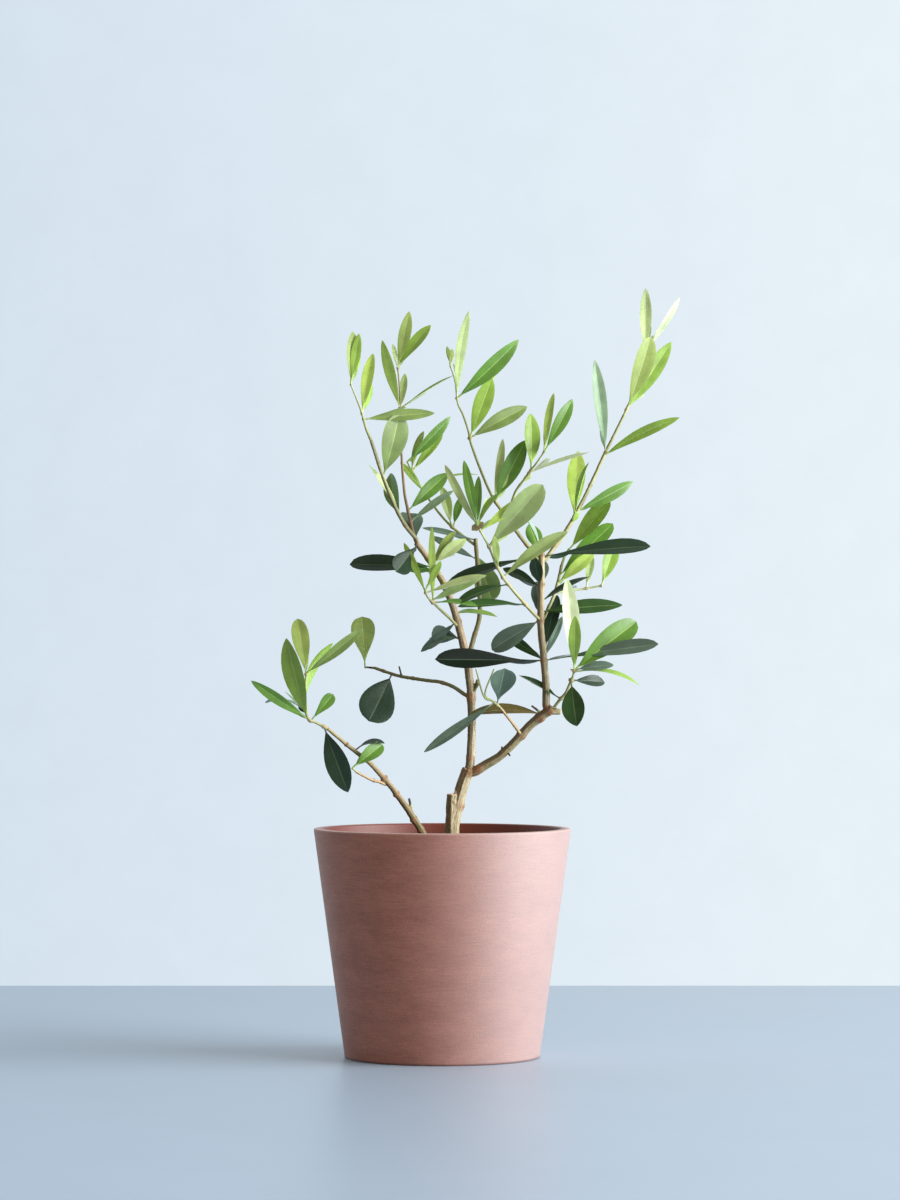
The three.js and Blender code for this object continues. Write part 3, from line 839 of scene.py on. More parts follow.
# %% [markdown]
# ## Bark
#
# Young olive bark is a thin smooth skin, cream to grey-olive, streaked lengthwise and greener
# where the stem is thin. The side away from the light is painted darker, as painted shade. Where
# a leaf or a shoot has been, it heals orange-brown. The streaks have to run along every limb
# however it bends, so they read the grain that was stored on the wood, in which each limb is laid
# out straight, and the scars, the painted shade and the thin stems read values of their own.

# %% Olive bark
STREAK_WIDE = 0.8 * MM
STREAK_LONG = 9 * MM


def bark_material(name, tones, young, dark_side, damp):
    """Streaked bark with healed scars: three tones from dark to light, those of its places, and the tone
    and greatest share of painted shade on the side away from the light.
    """
    material, tree, shader = new_material(name)
    grain = add_node(tree, "ShaderNodeAttribute", {"attribute_name": "grain"})
    laid_straight = add_node(tree, "ShaderNodeMapping", links={"Vector": grain.outputs["Vector"]},
                             values={"Scale": (1 / STREAK_WIDE, 1 / STREAK_WIDE, 1 / STREAK_LONG)})
    streaks = add_node(tree, "ShaderNodeTexNoise", links={"Vector": laid_straight.outputs["Vector"]},
                       values={"Scale": 1, "Detail": 4, "Roughness": 0.62, "Distortion": 0.4})
    tint = add_node(tree, "ShaderNodeValToRGB", links={"Fac": streaks.outputs["Fac"]})
    ramp = tint.color_ramp
    ramp.elements[0].position = 0.30
    ramp.elements[0].color = colour(tones[0])
    ramp.elements[1].position = 0.72
    ramp.elements[1].color = colour(tones[2])
    ramp.elements.new(0.48).color = colour(tones[1])
    shade = tint.outputs["Color"]
    for attribute, tone, most in (
        ("youth", young, 0.8), ("moss", "#6b6536", 0.8), ("tan", "#bf9f7c", 0.8),
        # shade_side lays painted shade on the side away from the light.
        ("shade_side", dark_side, damp), ("scar", "#8f5630", 0.75),
        ("dead", "#3a221b", 0.9), ("cut", "#d9b9a0", 1),
    ):
        stored = add_node(tree, "ShaderNodeAttribute", {"attribute_name": attribute})
        share = add_node(tree, "ShaderNodeMapRange", links={"Value": stored.outputs["Fac"]},
                         values={"To Max": most})
        laid = add_node(tree, "ShaderNodeMix", {"data_type": "RGBA"},
                        {"Factor": share.outputs["Result"], 6: shade}, {7: colour(tone)})
        shade = laid.outputs[2]
    tree.links.new(shade, shader.inputs["Base Color"])
    bump = add_node(tree, "ShaderNodeBump", links={"Height": streaks.outputs["Fac"]},
                    values={"Strength": 0.6, "Distance": 0.5 * MM})
    tree.links.new(bump.outputs["Normal"], shader.inputs["Normal"])
    shader.inputs["Roughness"].default_value = 0.68
    return material


def wear(piece, material):
    """Gives a piece this material and no other."""
    piece.data.materials.clear()
    piece.data.materials.append(material)


wear(wood, bark_material("olive_bark_grown", ("#7f6f4b", "#b5a680", "#ded4b9"),
                         "#98a163", "#523f22", 0.8))
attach(wood, "root")
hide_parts(*old_limbs)
print("bark streaks are", round(STREAK_LONG / MM), "mm long")

# %% [markdown]
# ## One leaf
#
# An olive leaf is a stiff narrow blade on a short stalk, folded a little along a pale midrib,
# with its edges rolled under. It could be a flat card with a picture of a leaf on it, but that
# has no edge and no fold of its own. So the leaf is a thin closed skin in its own outline: a
# row of flattened rings, first round for the stalk, then wide for the blade. Every leaf of the
# tree is this one shape with its own length, width, fold and droop, and the faces say which
# part of the leaf they are: upper face, lower face, or rib and stalk.

# %% The leaf's rings
# Round a ring: how far across each corner is, whether it is on the upper or the lower skin, and
# the part that the face after it belongs to.
RING_ACROSS = (-1, -0.55, -0.05, 0.05, 0.55, 1, 0.06, -0.06)
RING_UPPER = (0, 1, 1, 1, 1, 0, -1, -1)
FACE_PART = ("upper", "upper", "rib", "upper", "upper", "lower", "rib", "lower")
STALK_ROWS = 2
SEEN_ROWS = 12
PLAIN_ROWS = 7
HALF_THICK = 0.17 * MM
STALK_RADIUS = 0.55 * MM
# The most of a leaf that its stalk takes up.
STALK_MOST = 0.3
# From this half width on a blade is flat, and where it is narrower it rounds off into the stalk.
FLAT_FROM = 3 * MM
# How much the rings crowd towards the blade's two ends.
CROWDED = 0.55
# The rib's corners are those this near to the middle.
RIB_HALF = 0.1
# How far the edges roll under, the rib lies sunk and the keel stands out, as shares of the half
# width.
EDGE_ROLL = 0.07
GROOVE = 0.04
KEEL = 0.05
# How an outline swells from the stalk and closes at the tip: the higher, the more drawn out.
OUTLINES = {"lance": (1.0, 0.8), "oblong": (0.95, 0.55), "spoon": (1.3, 0.5), "strap": (1.5, 0.65)}


def half_width(outline, way):
    """The blade's half width some way along it, with 1 at its widest place."""
    rise, close = OUTLINES[outline]
    widest = rise / (rise + close)
    top = widest ** rise * (1 - widest) ** close
    return max(way, 0) ** rise * max(1 - way, 0) ** close / top


def turned_about(axis, degrees, *vectors):
    """Vectors turned about an axis."""
    turn = Matrix.Rotation(math.radians(degrees), 3, axis)
    return [turn @ vector for vector in vectors]


def leaf_rings(foot, heading, dip, roll, length, width, outline="lance", fold=14, droop=18,
               sickle=0, twist=0, stalk=5 * MM, rows=SEEN_ROWS):
    """The rings of one leaf. Heading turns clockwise from upright as seen from the front, dip
    leans to the front, and roll turns the upper face from the viewer towards the sky. Droop
    bends the blade towards its lower face, and sickle turns its heading along the way."""
    round_y, forward = math.radians(heading), math.radians(dip)
    run = Vector((math.sin(round_y) * math.cos(forward), -math.sin(forward),
                  math.cos(round_y) * math.cos(forward)))
    facing = Vector((0, -1, 0)) - run * -run.y
    facing = facing.normalized() if facing.length > 1e-6 else Vector((0, 0, 1))
    side = run.cross(facing)
    up, side = turned_about(run, -roll if side.z <= 0 else roll, facing, side)
    stem_share = min(stalk / length, STALK_MOST)
    shares = [stem_share * i / STALK_ROWS for i in range(STALK_ROWS)]
    for i in range(rows + 1):
        even = i / rows
        eased = (1 - math.cos(math.pi * even)) / 2
        shares.append(stem_share + (1 - stem_share) * ((1 - CROWDED) * even + CROWDED * eased))
    rings = []
    place = Vector(foot)
    last = 0
    for share in shares:
        step = share - last
        last = share
        run, up = turned_about(side, -droop * step, run, up)
        run, up, side = turned_about(Vector((0, 1, 0)), sickle * step, run, up, side)
        up, side = turned_about(run, twist * step, up, side)
        place = place + run * (length * step)
        way = (share - stem_share) / (1 - stem_share)
        wide = half_width(outline, way) * width / 2
        stem = STALK_RADIUS * (1.15 - 0.5 * share if way < 0.9 else 0.4)
        flat = min(1, wide / FLAT_FROM)
        angle = math.radians(fold) * flat
        ring = []
        for offset, upper in zip(RING_ACROSS, RING_UPPER):
            out = abs(offset) * wide
            across = math.copysign(out * math.cos(angle), offset) + (1 - flat) * stem * offset
            sunk = EDGE_ROLL * offset ** 4
            if abs(offset) < RIB_HALF:
                sunk += GROOVE if upper > 0 else KEEL
            thick = upper * (stem * (1 - flat) + HALF_THICK * flat) * (1 - 0.5 * abs(offset))
            lift = out * math.sin(angle) - sunk * wide * flat + thick
            ring.append(place + side * across + up * lift)
        rings.append(ring)
    return rings


print("a leaf's stalk is", round(2 * STALK_RADIUS / MM, 1), "mm thick and its blade",
      round(2 * HALF_THICK / MM, 2))

# %% The leaf's faces
def leaf_faces(start, rows):
    """The faces between a leaf's rings, counted from its first corner, and the part each is."""
    around = len(RING_ACROSS)
    faces = []
    parts = []
    for row in range(rows - 1):
        for i in range(around):
            after = (i + 1) % around
            low, high = start + row * around, start + (row + 1) * around
            faces.append((low + i, low + after, high + after, high + i))
            parts.append("rib" if row < STALK_ROWS else FACE_PART[i])
    faces.append(tuple(start + i for i in reversed(range(around))))
    faces.append(tuple(start + (rows - 1) * around + i for i in range(around)))
    return faces, parts + ["rib", "rib"]


print("a leaf has", (STALK_ROWS + PLAIN_ROWS) * len(RING_ACROSS) + 2, "faces, or",
      (STALK_ROWS + SEEN_ROWS) * len(RING_ACROSS) + 2, "where it shows its outline")

# %% [markdown]
# ## Growing the crown
#
# The youngest tips are too thin for the frame, so they grow on from a limb's end through a few
# points of their own. An olive bears its leaves in opposite pairs, each pair turned a quarter
# from the one below, so seen from any side some leaves are broad and others are edge-on or point
# at the viewer. The leaves that give this tree its outline are set one by one, each by the
# height at which it leaves its limb, the way it heads and its size. Then a seeded rule gives
# most of them a partner that points to the back, so that the crown is full from all sides and
# stays open where sky shows between the limbs.

# %% The youngest tips, and the small twigs that carry leaves past the limbs
# Where the youngest tips grow on to, as (x, y, height above the compost) in mm, and the radius
# at the end.
TIPS = {
    "outer_shoot": ([(-58.5, -49, 334), (-62.5, -52, 348), (-70, -55, 367)], 0.5),
    "inner_shoot": ([(-33, 18, 350), (-33.6, 20, 369), (-35, 22, 385)], 0.5),
    "back_shoot": ([(-22, 62, 301), (-28, 64, 313)], 0.6),
    "centre_shoot": ([(20, 11, 336), (16, 14, 348), (12, 17, 357), (10, 20, 374), (6, 23, 387)], 0.5),
    "fan_shoot": ([(73, -32, 308), (79, -36, 317)], 0.6),
    "front_shoot": ([(41, -50, 230), (36, -57, 242), (30, -64, 253), (27, -68, 258)], 0.6),
    "right_shoot": ([(97, 40, 239), (100, 42, 243)], 0.7),
    "leader_shoot": ([(-11.5, -45, 205), (-13, -48, 209)], 0.6),
    "right_arm": ([(152, 58, 368), (158, 62, 384), (161, 66, 398), (164, 70, 406)], 0.6),
    "low_twig": ([(-69, -45, 73)], 0.5),
    "side_twig": ([(-61, 45, 150)], 0.6),
    "elbow_shoot": ([(102, -26, 148)], 0.6),
    "bough_twig": ([(38, -31, 125)], 0.6),
    "low_stem": ([(-97, -46, 108), (-102, -47, 110), (-106, -48, 118)], 0.6),
}
# The limb, the height in mm above the compost where the twig leaves it, the points that it runs
# through and its radius at the end.
TWIGS = {
    "right_side_twig": ("right_shoot", 208, [(107, 27, 211), (125, 31, 214)], 0.8),
    "far_left_twig": ("low_stem", 112, [(-105, -50, 130), (-104, -51, 146)], 0.8),
    "tangle_twig_left": ("bough_twig", 124, [(32, -32, 128), (26, -33, 149)], 0.6),
    "tangle_twig_right": ("bough_twig", 124, [(33, -32, 130), (40, -34, 149)], 0.6),
}
TWIG_TAPER = 1.3


def spot_at(line, height):
    """The point of a line at a height in mm above the compost."""
    return line[np.abs(line[:, 2] - compost_top - height * MM).argmin()]


def grown(line, points, end_radius):
    """A fine line through more points that lead on from a line's last point."""
    points = np.array(points) * MM + (0, 0, compost_top)
    radii = np.linspace(line[-1, 3], end_radius * MM, len(points) + 1)[1:]
    more = np.hstack([points, radii[:, None]])
    return fine_line(np.vstack([line[-1:], more]))


tips = {name: grown(lines[name], points, radius) for name, (points, radius) in TIPS.items()}
whole = {name: np.vstack([line[:-1], tips[name]]) if name in tips else line
         for name, line in lines.items()}
for name, (limb, height, points, radius) in TWIGS.items():
    foot = spot_at(whole[limb], height).copy()
    foot[3] = TWIG_TAPER * radius * MM
    tips[name] = whole[name] = grown(foot[None], points, radius)
print("limbs and twigs that can bear leaves:", len(whole))

# %% The leaves that give the tree its outline
# For each limb: the height above the compost in mm at which the leaf leaves it, its heading, its
# length and its width in mm as seen from the front, its finish, and then what differs from a
# plain leaf, if anything.
SET_LEAVES = {
    "outer_shoot": [
        (266, -20, 40, 13, "mid", {"dip": -25}), (266, -23, 47, 5, "pale", {"roll": 60}),
        (297, 20, 48, 18, "moss", {"outline": "oblong"}), (340, 82, 56, 9, "moss", {"roll": 20}),
        (345, 8, 50, 9, "bright", {"roll": 5}), (367, 3, 42, 9, "olive"),
        (367, 9, 41, 7, "fresh", {"dip": -15}),
    ],
    "inner_shoot": [
        (263, 53, 41, 6, "mint"), (272, 45, 47, 11, "mid", {"dip": -15}),
        (351, 7, 30, 6, "sage", {"dip": -10}), (353, -16, 54, 8, "bright"),
        (353, 55, 48, 3, "fresh", {"roll": 75}), (384, -10, 20, 3, "pale"), (385, 12, 44, 9, "olive"),
        (385, 32, 45, 8, "fresh", {"roll": 35}),
    ],
    "back_shoot": [
        (260, 13, 25, 6, "mid"), (261, -13, 32, 8, "olive"), (287, -35, 31, 5, "fresh"),
        (290, 48, 47, 3, "fresh", {"roll": 75, "sickle": 28}), (305, 37, 41, 7, "fresh"),
        (305, 2, 37, 5, "olive", {"sickle": 30}), (313, 46, 51, 9, "mid"),
    ],
    "centre_shoot": [
        (329, 20, 52, 13, "fresh"), (329, 58, 55, 12, "moss"), (361, 0, 67, 7, "pale", {"sickle": 18}),
        (361, 50, 66, 13, "mid"), (385, -8, 16, 3, "olive"), (386, 8, 15, 3, "olive"),
    ],
    "fan_shoot": [
        (291, 42, 12, 4, "pale"), (300, 66, 49, 4, "white", {"roll": 70}),
        (302, 3, 46, 12, "fresh", {"dip": -10}), (316, 7, 45, 6, "bright"), (317, 29, 46, 10, "mid"),
    ],
    "left_arm": [
        (279, 8, 49, 6, "pale"), (279, 28, 52, 14, "mid"), (278, 20, 26, 5, "pale"),
    ],
    "front_shoot": [
        (199, -88, 52, 5, "deep", {"roll": 70, "droop": 8}), (214, -99, 43, 6, "deep", {"roll": 60}),
        (219, 49, 63, 9, "sage", {"roll": 40}), (226, -4, 22, 5, "olive", {"dip": 40}),
        (242, 48, 24, 5, "pale"), (243, 42, 62, 20, "sage", {"outline": "oblong", "dip": 10}),
        (254, 52, 46, 8, "bright"), (258, 21, 30, 4, "fresh", {"roll": 60}),
        (258, -12, 28, 4, "bright", {"roll": 60}), (258, -30, 58, 6, "pale"), (258, -12, 51, 7, "mid"),
        (258, 0, 38, 6, "mid"),
    ],
    "leader_shoot": [
        (200, -1, 57, 5, "bright"), (200, 84, 34, 4, "mid", {"roll": 70}), (202, 62, 43, 7, "sage"),
        (208, -22, 46, 5, "fresh", {"roll": 10}), (208, 72, 48, 5, "pale", {"roll": 60}),
        (209, 28, 26, 5, "fresh"),
    ],
    "left_leader": [
        (170, -45, 32, 6, "teal", {"sickle": -100, "roll": 60}), (186, -130, 38, 6, "teal"),
        (172, -80, 27, 13, "silver", {"outline": "oblong", "dip": -20}),
        (193, 86, 33, 4, "fresh", {"roll": 70}), (225, -80, 27, 8, "mid"),
        (228, -87, 65, 12, "dark", {"outline": "oblong", "roll": 40}),
        (229, 30, 36, 7, "olive", {"dip": -30}), (229, 50, 35, 9, "pale"),
        (245, -144, 26, 15, "dark", {"outline": "spoon", "dip": 45}),
        (246, -12, 27, 17, "teal", {"outline": "spoon", "dip": -45}),
    ],
    "right_arm": [
        (261, 40, 12, 4, "fresh"), (268, 2, 57, 13, "bright", {"roll": 15}),
        (268, 8, 44, 4, "fresh", {"roll": 70}), (273, 64, 51, 10, "mid"),
        (317, 55, 64, 8, "fresh", {"roll": 10, "sickle": 14}),
        (320, -6, 72, 10, "mint", {"roll": 5, "dip": 12}),
        (354, 34, 66, 12, "fresh", {"dip": -8, "droop": 3}),
        (356, 21, 57, 15, "olive", {"outline": "oblong", "dip": 12}),
        (398, 1, 53, 9, "pale", {"roll": -8}), (404, 36, 47, 5, "white", {"roll": -20}),
        (406, 2, 20, 4, "moss"),
    ],
    "right_bough": [
        (113, -74, 58, 8, "brown", {"roll": 55, "droop": 4, "sickle": -26, "dip": 14}),
    ],
    "right_shoot": [
        (216, 48, 39, 9, "bright"), (222, 44, 61, 13, "mid", {"outline": "oblong"}),
        (243, 39, 49, 14, "fresh", {"outline": "oblong", "dip": 15}),
    ],
    "right_side_twig": [
        (212, 10, 28, 6, "pale", {"dip": -20}), (214, 19, 35, 11, "fresh", {"outline": "oblong"}),
    ],
    "right_upright": [
        (156, -89, 84, 16, "darkest",
         {"outline": "strap", "roll": 12, "dip": 14, "droop": 2, "stalk": 15 * MM}),
        (156, 80, 88, 8, "teal", {"outline": "strap", "droop": 4, "roll": 55, "stalk": 16 * MM}),
        (156, -55, 42, 8, "deep", {"dip": -20}), (157, 25, 38, 6, "teal", {"dip": -25}),
        (158, 12, 56, 11, "dark", {"dip": -20, "stalk": 12 * MM}),
        (187, -119, 45, 15, "teal", {"outline": "oblong"}), (194, 82, 64, 11, "deep", {"roll": 30}),
        (190, -8, 30, 9, "teal", {"dip": -50}), (201, 53, 44, 6, "dark", {"roll": 50}),
        (213, -18, 22, 9, "dark", {"dip": 35}), (213, 6, 24, 9, "teal", {"dip": -40}),
        (212, -60, 34, 7, "dark", {"roll": 40, "dip": -20}), (236, -18, 28, 11, "mid"),
        (236, 81, 85, 12, "dark", {"outline": "strap", "roll": 40, "stalk": 9 * MM}),
        (238, -101, 79, 10, "dark", {"outline": "strap", "roll": 50, "stalk": 14 * MM}),
        (243, -20, 30, 4, "silver", {"roll": 70}),
    ],
    "elbow_shoot": [
        (126, -58, 37, 6, "deep", {"roll": 60}), (140, 177, 34, 17, "deep", {"dip": 20}),
        (140, 90, 31, 9, "dark", {"dip": -25}), (147, 78, 52, 4, "fresh", {"roll": 75, "droop": 45}),
        (148, -2, 74, 12, "white", {"roll": 20}), (148, 50, 64, 18, "mid", {"outline": "oblong"}),
        (148, -1, 40, 9, "fresh", {"dip": 20}), (148, 76, 30, 6, "teal", {"roll": 40}),
    ],
    "bough_twig": [
        (121, 12, 28, 19, "teal", {"outline": "spoon", "dip": 35}),
        (123, -126, 65, 6, "teal", {"roll": 50, "sickle": 10}),
    ],
    "second_upright": [
        (235, -63, 39, 6, "teal"), (250, -74, 43, 4, "teal", {"roll": 65}),
        (240, 160, 42, 18, "moss", {"outline": "oblong", "dip": -12}),
    ],
    "side_twig": [
        (145, -155, 40, 25, "dark", {"outline": "oblong", "dip": 30, "fold": 4}),
        (150, -2, 39, 17, "olive", {"outline": "spoon", "dip": 15}),
    ],
    "low_stem": [
        (86, 40, 25, 4, "dark", {"roll": 70, "sickle": 60}), (105, 161, 53, 16, "dark"),
        (109, 40, 27, 9, "mid", {"outline": "spoon"}), (110, -56, 52, 8, "mid"),
        (111, -19, 62, 15, "fresh", {"roll": -25}), (112, -30, 15, 6, "dark", {"dip": -30}),
        (116, -12, 60, 5, "fresh", {"roll": 60, "sickle": 75}),
        (118, -50, 35, 5, "silver", {"roll": 60, "dip": -30, "droop": 50}),
    ],
    "far_left_twig": [
        (144, -8, 45, 12, "olive", {"outline": "oblong"}), (146, 54, 55, 8, "moss"),
    ],
    "low_twig": [
        (73, 50, 31, 11, "mid", {"outline": "oblong"}),
    ],
}
print("limbs with set leaves:", len(SET_LEAVES))

# %% Plan the leaves that were set
# A leaf reads narrower than it is, so it is made fuller, and one that is seen edge-on is taken to
# show no less than this share of its width.
FULLER = 1.12
EDGE_ON = 0.42
rng = random.Random(1207)
crown = []
for limb, rows in SET_LEAVES.items():
    line = whole[limb]
    for height, heading, length, width, finish, *rest in rows:
        more = dict(*rest)
        dip = more.pop("dip", rng.uniform(-18, 18))
        roll = more.pop("roll", rng.uniform(-25, 25))
        more.setdefault("droop", rng.uniform(4, 26))
        more.setdefault("fold", rng.uniform(10, 24))
        more.setdefault("twist", rng.uniform(-18, 18))
        length = length * MM / math.cos(math.radians(dip))
        width = FULLER * width * MM / max(EDGE_ON, abs(math.cos(math.radians(roll))))
        foot = spot_at(line, height)
        crown.append((limb, finish, foot, dict(heading=heading, dip=dip, roll=roll, length=length,
                                               width=width, **more)))
print("leaves set by hand:", len(crown))

# %% The rule that fills the crown behind the leaves that were set
# Each leaf has a partner that leans away to the back, turned so that its face shows from the
# sides. It is shorter as the front sees it, so that it stays behind the leaf that was set, and
# none reaches further back than the crown is deep. A short or a curled leaf has none.
PARTNER_SHARE = 0.9
SHORT = 24 * MM
# In degrees, as the sickle of a leaf.
CURLED = 20
BROAD = 8 * MM
BACK_MOST = 100 * MM
PARTNER_LONGEST = 58 * MM
OTHER_FINISH = {
    "darkest": ("dark", "deep"), "dark": ("dark", "deep", "teal"), "deep": ("deep", "dark"),
    "brown": ("deep",), "teal": ("teal", "deep"), "silver": ("teal", "mid"),
    "mid": ("mid", "fresh", "olive"), "fresh": ("fresh", "mid", "olive"), "olive": ("olive", "fresh"),
    "bright": ("fresh", "bright"), "pale": ("fresh", "olive", "pale"), "white": ("olive", "pale"),
    "moss": ("moss", "olive"), "sage": ("sage", "fresh"), "mint": ("mint", "fresh"),
}
rng = random.Random(4021)
for limb, finish, foot, shape in list(crown):
    if rng.random() > PARTNER_SHARE or shape["length"] < SHORT or abs(shape.get("sickle", 0)) > CURLED:
        continue
    dip = rng.uniform(40, 72)
    seen = shape["length"] * math.cos(math.radians(shape["dip"])) * rng.uniform(0.55, 0.8)
    wide = shape["width"] * abs(math.cos(math.radians(shape["roll"])))
    edge_on = rng.choice((-1, 1)) * (rng.uniform(58, 85) if wide > BROAD else rng.uniform(78, 92))
    longest = (BACK_MOST - foot[1]) / math.sin(math.radians(dip))
    crown.append((limb, rng.choice(OTHER_FINISH[finish]), foot, dict(
        heading=shape["heading"] + rng.uniform(-4, 4), dip=-dip, roll=edge_on,
        length=min(PARTNER_LONGEST * rng.uniform(0.7, 1), seen / math.cos(math.radians(dip)), longest),
        width=rng.uniform(8, 11.5) * MM, outline=rng.choice(("lance", "oblong")),
        fold=rng.uniform(8, 24), droop=rng.uniform(-6, 14), twist=rng.uniform(-12, 12), rows=PLAIN_ROWS)))
print("leaves in all:", len(crown))

# %% [markdown]
# ## Shoots and twigs
#
# This year's shoots are pale green and as thin as a match, with a slight swelling wherever a
# pair of leaves stands. They are drawn as tubes whose radius swells at the feet of the leaves
# that were just planned, so stem and leaf meet in a joint as on the real plant.

# %% Draw the shoots
SWELLING = 0.38
SWELLING_LONG = 1.1 * MM
# A limb with more leaves than this swells less at each of them.
MANY = 8
SHOOT_SIDES = 2


def jointed(name, line):
    """A line with its radius swollen wherever a leaf of its limb stands."""
    line = line.copy()
    feet = [foot for limb, finish, foot, shape in crown if limb == name]
    swelling = SWELLING / (1.5 if len(feet) > MANY else 1)
    for foot in feet:
        away = np.linalg.norm(line[:, :3] - foot[:3], axis=1)
        line[:, 3] *= 1 + swelling * np.exp(-(away / SWELLING_LONG) ** 2)
    return line


def store_grain(piece, lines_used):
    """Stores where each point of a tube sits round and along its line, as on the old wood."""
    spots = np.vstack([np.column_stack([line, way_along(line) + number])
                       for number, line in enumerate(lines_used)])
    skin = read(piece.data)
    middle, radius, along = np.split(spots[nearest_of(skin, spots[:, :3])], (3, 4), axis=1)
    out = skin - middle
    reach = np.linalg.norm(out, axis=1)
    turn = np.arctan2(out[:, 0], -out[:, 1])
    give(piece, "grain", np.column_stack([reach * np.cos(turn), reach * np.sin(turn), along]),
         "FLOAT_VECTOR")
    give(piece, "youth", np.clip((1.5 * MM - radius) / (1.1 * MM), 0, 1))
    # Painted shade on the side of each shoot away from the window.
    give(piece, "shade_side", np.clip(0.5 - 0.9 * read(piece.data, "normal")[:, 0], 0, 1))
    give(piece, "tan", np.clip((radius - 1.05 * MM) / (0.6 * MM), 0, 0.75))


def shoots(name, lines_used, material):
    """Shoots along lines, joined into one piece with its bark."""
    piece = joined(name, [tube(limb, line, SHOOT_SIDES) for limb, line in lines_used.items()])
    store_grain(piece, lines_used.values())
    wear(piece, material)
    round_off(piece)
    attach(piece, "root")
    print(name, len(piece.data.polygons), "faces")
    return piece


green_lines = {name: jointed(name, line) for name, line in whole.items()
               if name in TWIGS or LIMBS[name][1] == "green"}
green_lines.update({name: jointed(name, tips[name]) for name in TIPS if LIMBS[name][1] == "old"})
green = shoots("green_shoots", green_lines,
               bark_material("olive_shoot_bark_green", ("#8c9159", "#aaad76", "#c7c89b"),
                             "#b2bf7e", "#70713f", 0.5))
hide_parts(*[n for n, (parent, kind) in LIMBS.items() if kind == "green"])
red = shoots("red_shoot", {"inner_shoot": jointed("inner_shoot", whole["inner_shoot"])},
             bark_material("olive_shoot_bark_red", ("#6e4a35", "#8c6650", "#b0917a"),
                           "#a8a870", "#4c3325", 0.5))
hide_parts("inner_shoot")

# %% [markdown]
# ## Leaf finishes
#
# The upper face of an olive leaf is waxed and the lower face is covered in fine silver scales,
# which is why the same leaf looks dark and shiny from above and pale and dull from below. Old
# leaves are almost black-green, middle ones grey-green, and this year's are yellow-green. Each
# age has its own plain colours, dealt out leaf by leaf, and the only pattern is a slight
# unevenness, so that nothing depends on where it falls. Each leaf's finish follows how light or
# dark it shows, so the palest young ones, bright, pale and white, are partly painted light for
# sun that shines through thin leaves and glances off them, and the darkest is partly painted
# shade on a leaf turned away from the light.

# %% Leaf materials
# For each age and each finish: upper face, lower face and rib, then the roughness of the upper
# face.
FINISHES = {
    "old": {
        # darkest is partly painted shade, for a leaf turned away from the light.
        "darkest": ("#0e1b12", "#6d7d70", "#2f4430", 0.36),
        "dark": ("#273d2b", "#77877a", "#45593f", 0.36),
        "deep": ("#365629", "#7d9168", "#66854a", 0.40),
        "brown": ("#665b31", "#8a8158", "#8f8348", 0.50),
    },
    "grey": {
        "teal": ("#5c7362", "#93a296", "#84957f", 0.45),
        "silver": ("#8fa396", "#aab8ac", "#a3b49c", 0.50),
    },
    "young": {
        "mid": ("#5e8a32", "#94b45e", "#93b15a", 0.38),
        "fresh": ("#8aae44", "#a9cc66", "#b0c96e", 0.40),
        "olive": ("#8fa450", "#b0c874", "#a8b56c", 0.50),
        "moss": ("#6e8642", "#9db868", "#93a55a", 0.50),
        "sage": ("#97ad6a", "#b6cc88", "#adbd80", 0.50),
        "mint": ("#92b089", "#a3b79a", "#abbf9a", 0.42),
        # bright, pale and white are partly painted light, for sun that shines through thin leaves and
        # glances off them.
        "bright": ("#b8d662", "#c8e486", "#c5d884", 0.42),
        "pale": ("#bfd48f", "#d4e6b0", "#cfdcae", 0.42),
        "white": ("#cfdfb0", "#dae6c2", "#d5e0b4", 0.40),
    },
}
FACES = ("upper", "lower", "rib")
UNEVEN = 12 * MM
DIMPLE = 3.5 * MM


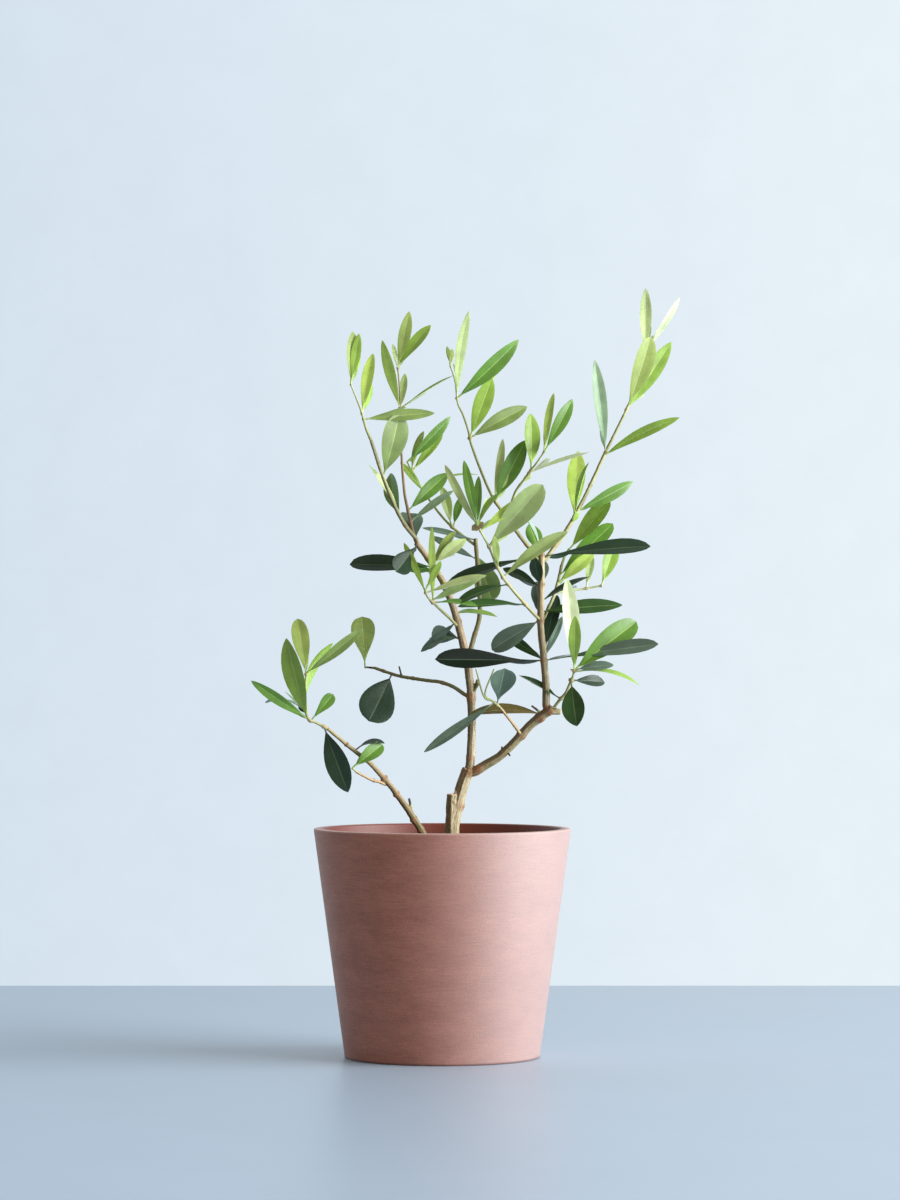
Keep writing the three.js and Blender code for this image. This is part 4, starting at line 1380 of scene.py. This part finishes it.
def leaf_material(name, tone, roughness, downy, shine=0.5):
    """Waxed or downy leaf skin: plain colour, slightly uneven, with a fine grain."""
    material, tree, shader = new_material(name)
    place = add_node(tree, "ShaderNodeTexCoord").outputs["Object"]
    *base, solid = colour(tone)
    patches = add_node(tree, "ShaderNodeTexNoise", links={"Vector": place},
                       values={"Scale": 1 / UNEVEN, "Detail": 2})
    tint = add_node(tree, "ShaderNodeValToRGB", links={"Fac": patches.outputs["Fac"]})
    tint.color_ramp.elements[0].position = 0.3
    tint.color_ramp.elements[0].color = [c * 0.84 for c in base] + [solid]
    tint.color_ramp.elements[1].position = 0.7
    tint.color_ramp.elements[1].color = [min(1, c * 1.14) for c in base] + [solid]
    tree.links.new(tint.outputs["Color"], shader.inputs["Base Color"])
    dimples = add_node(tree, "ShaderNodeTexNoise", links={"Vector": place},
                       values={"Scale": 1 / DIMPLE, "Detail": 1})
    bump = add_node(tree, "ShaderNodeBump", links={"Height": dimples.outputs["Fac"]},
                    values={"Strength": 0.10 if downy else 0.16, "Distance": 0.4 * MM})
    tree.links.new(bump.outputs["Normal"], shader.inputs["Normal"])
    shader.inputs["Roughness"].default_value = roughness
    shader.inputs["Specular IOR Level"].default_value = shine
    if downy:
        shader.inputs["Sheen Weight"].default_value = 0.25
        shader.inputs["Sheen Roughness"].default_value = 0.5
    return material


def leaf_skins(age, finish):
    """The materials of a leaf's three kinds of face, in the order of FACES."""
    upper, lower, rib, roughness = FINISHES[age][finish]
    name = "olive_leaf_" + finish
    return [leaf_material(name + "_waxed", upper, roughness, False, 0.3 if age == "old" else 0.5),
            leaf_material(name + "_downy", lower, 0.62, True),
            leaf_material(name + "_rib", rib, 0.5, False)]


print("leaf materials:", len(FACES) * sum(len(finishes) for finishes in FINISHES.values()))

# %% Join the leaves of each age into a piece
AGE_SLOTS = {"young": "young_leaf", "grey": "grey_leaf", "old": "old_leaf"}
node_slot = {name: node.material_slots[0].name.split(".")[0] for name, node in nodes.items()
             if name.startswith("leaves_")}
print("the masses' finishes are named", sorted(set(node_slot.values())))
for age, slot in AGE_SLOTS.items():
    used = list(FINISHES[age])
    points, faces, marks = [], [], []
    for limb, finish, foot, shape in crown:
        if finish not in used:
            continue
        rings = leaf_rings(foot[:3], **shape)
        more, parts = leaf_faces(len(points), len(rings))
        faces += more
        marks += [len(FACES) * used.index(finish) + FACES.index(p) for p in parts]
        points += [p for ring in rings for p in ring]
    piece = mesh_object("leaves_" + age, points, faces)
    for finish in used:
        for material in leaf_skins(age, finish):
            piece.data.materials.append(material)
    piece.data.polygons.foreach_set("material_index", marks)
    pick(piece)
    bpy.ops.object.shade_smooth_by_angle(angle=math.radians(70))
    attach(piece, "root")
    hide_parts(*[n for n, s in node_slot.items() if s == slot])
    print(piece.name, len(faces), "faces")

# %% [markdown]
# ## Sizes, and the end
#
# The new pieces have to stay inside the frame's own box.

# %% Bring the scene up to date
bpy.context.view_layer.update()
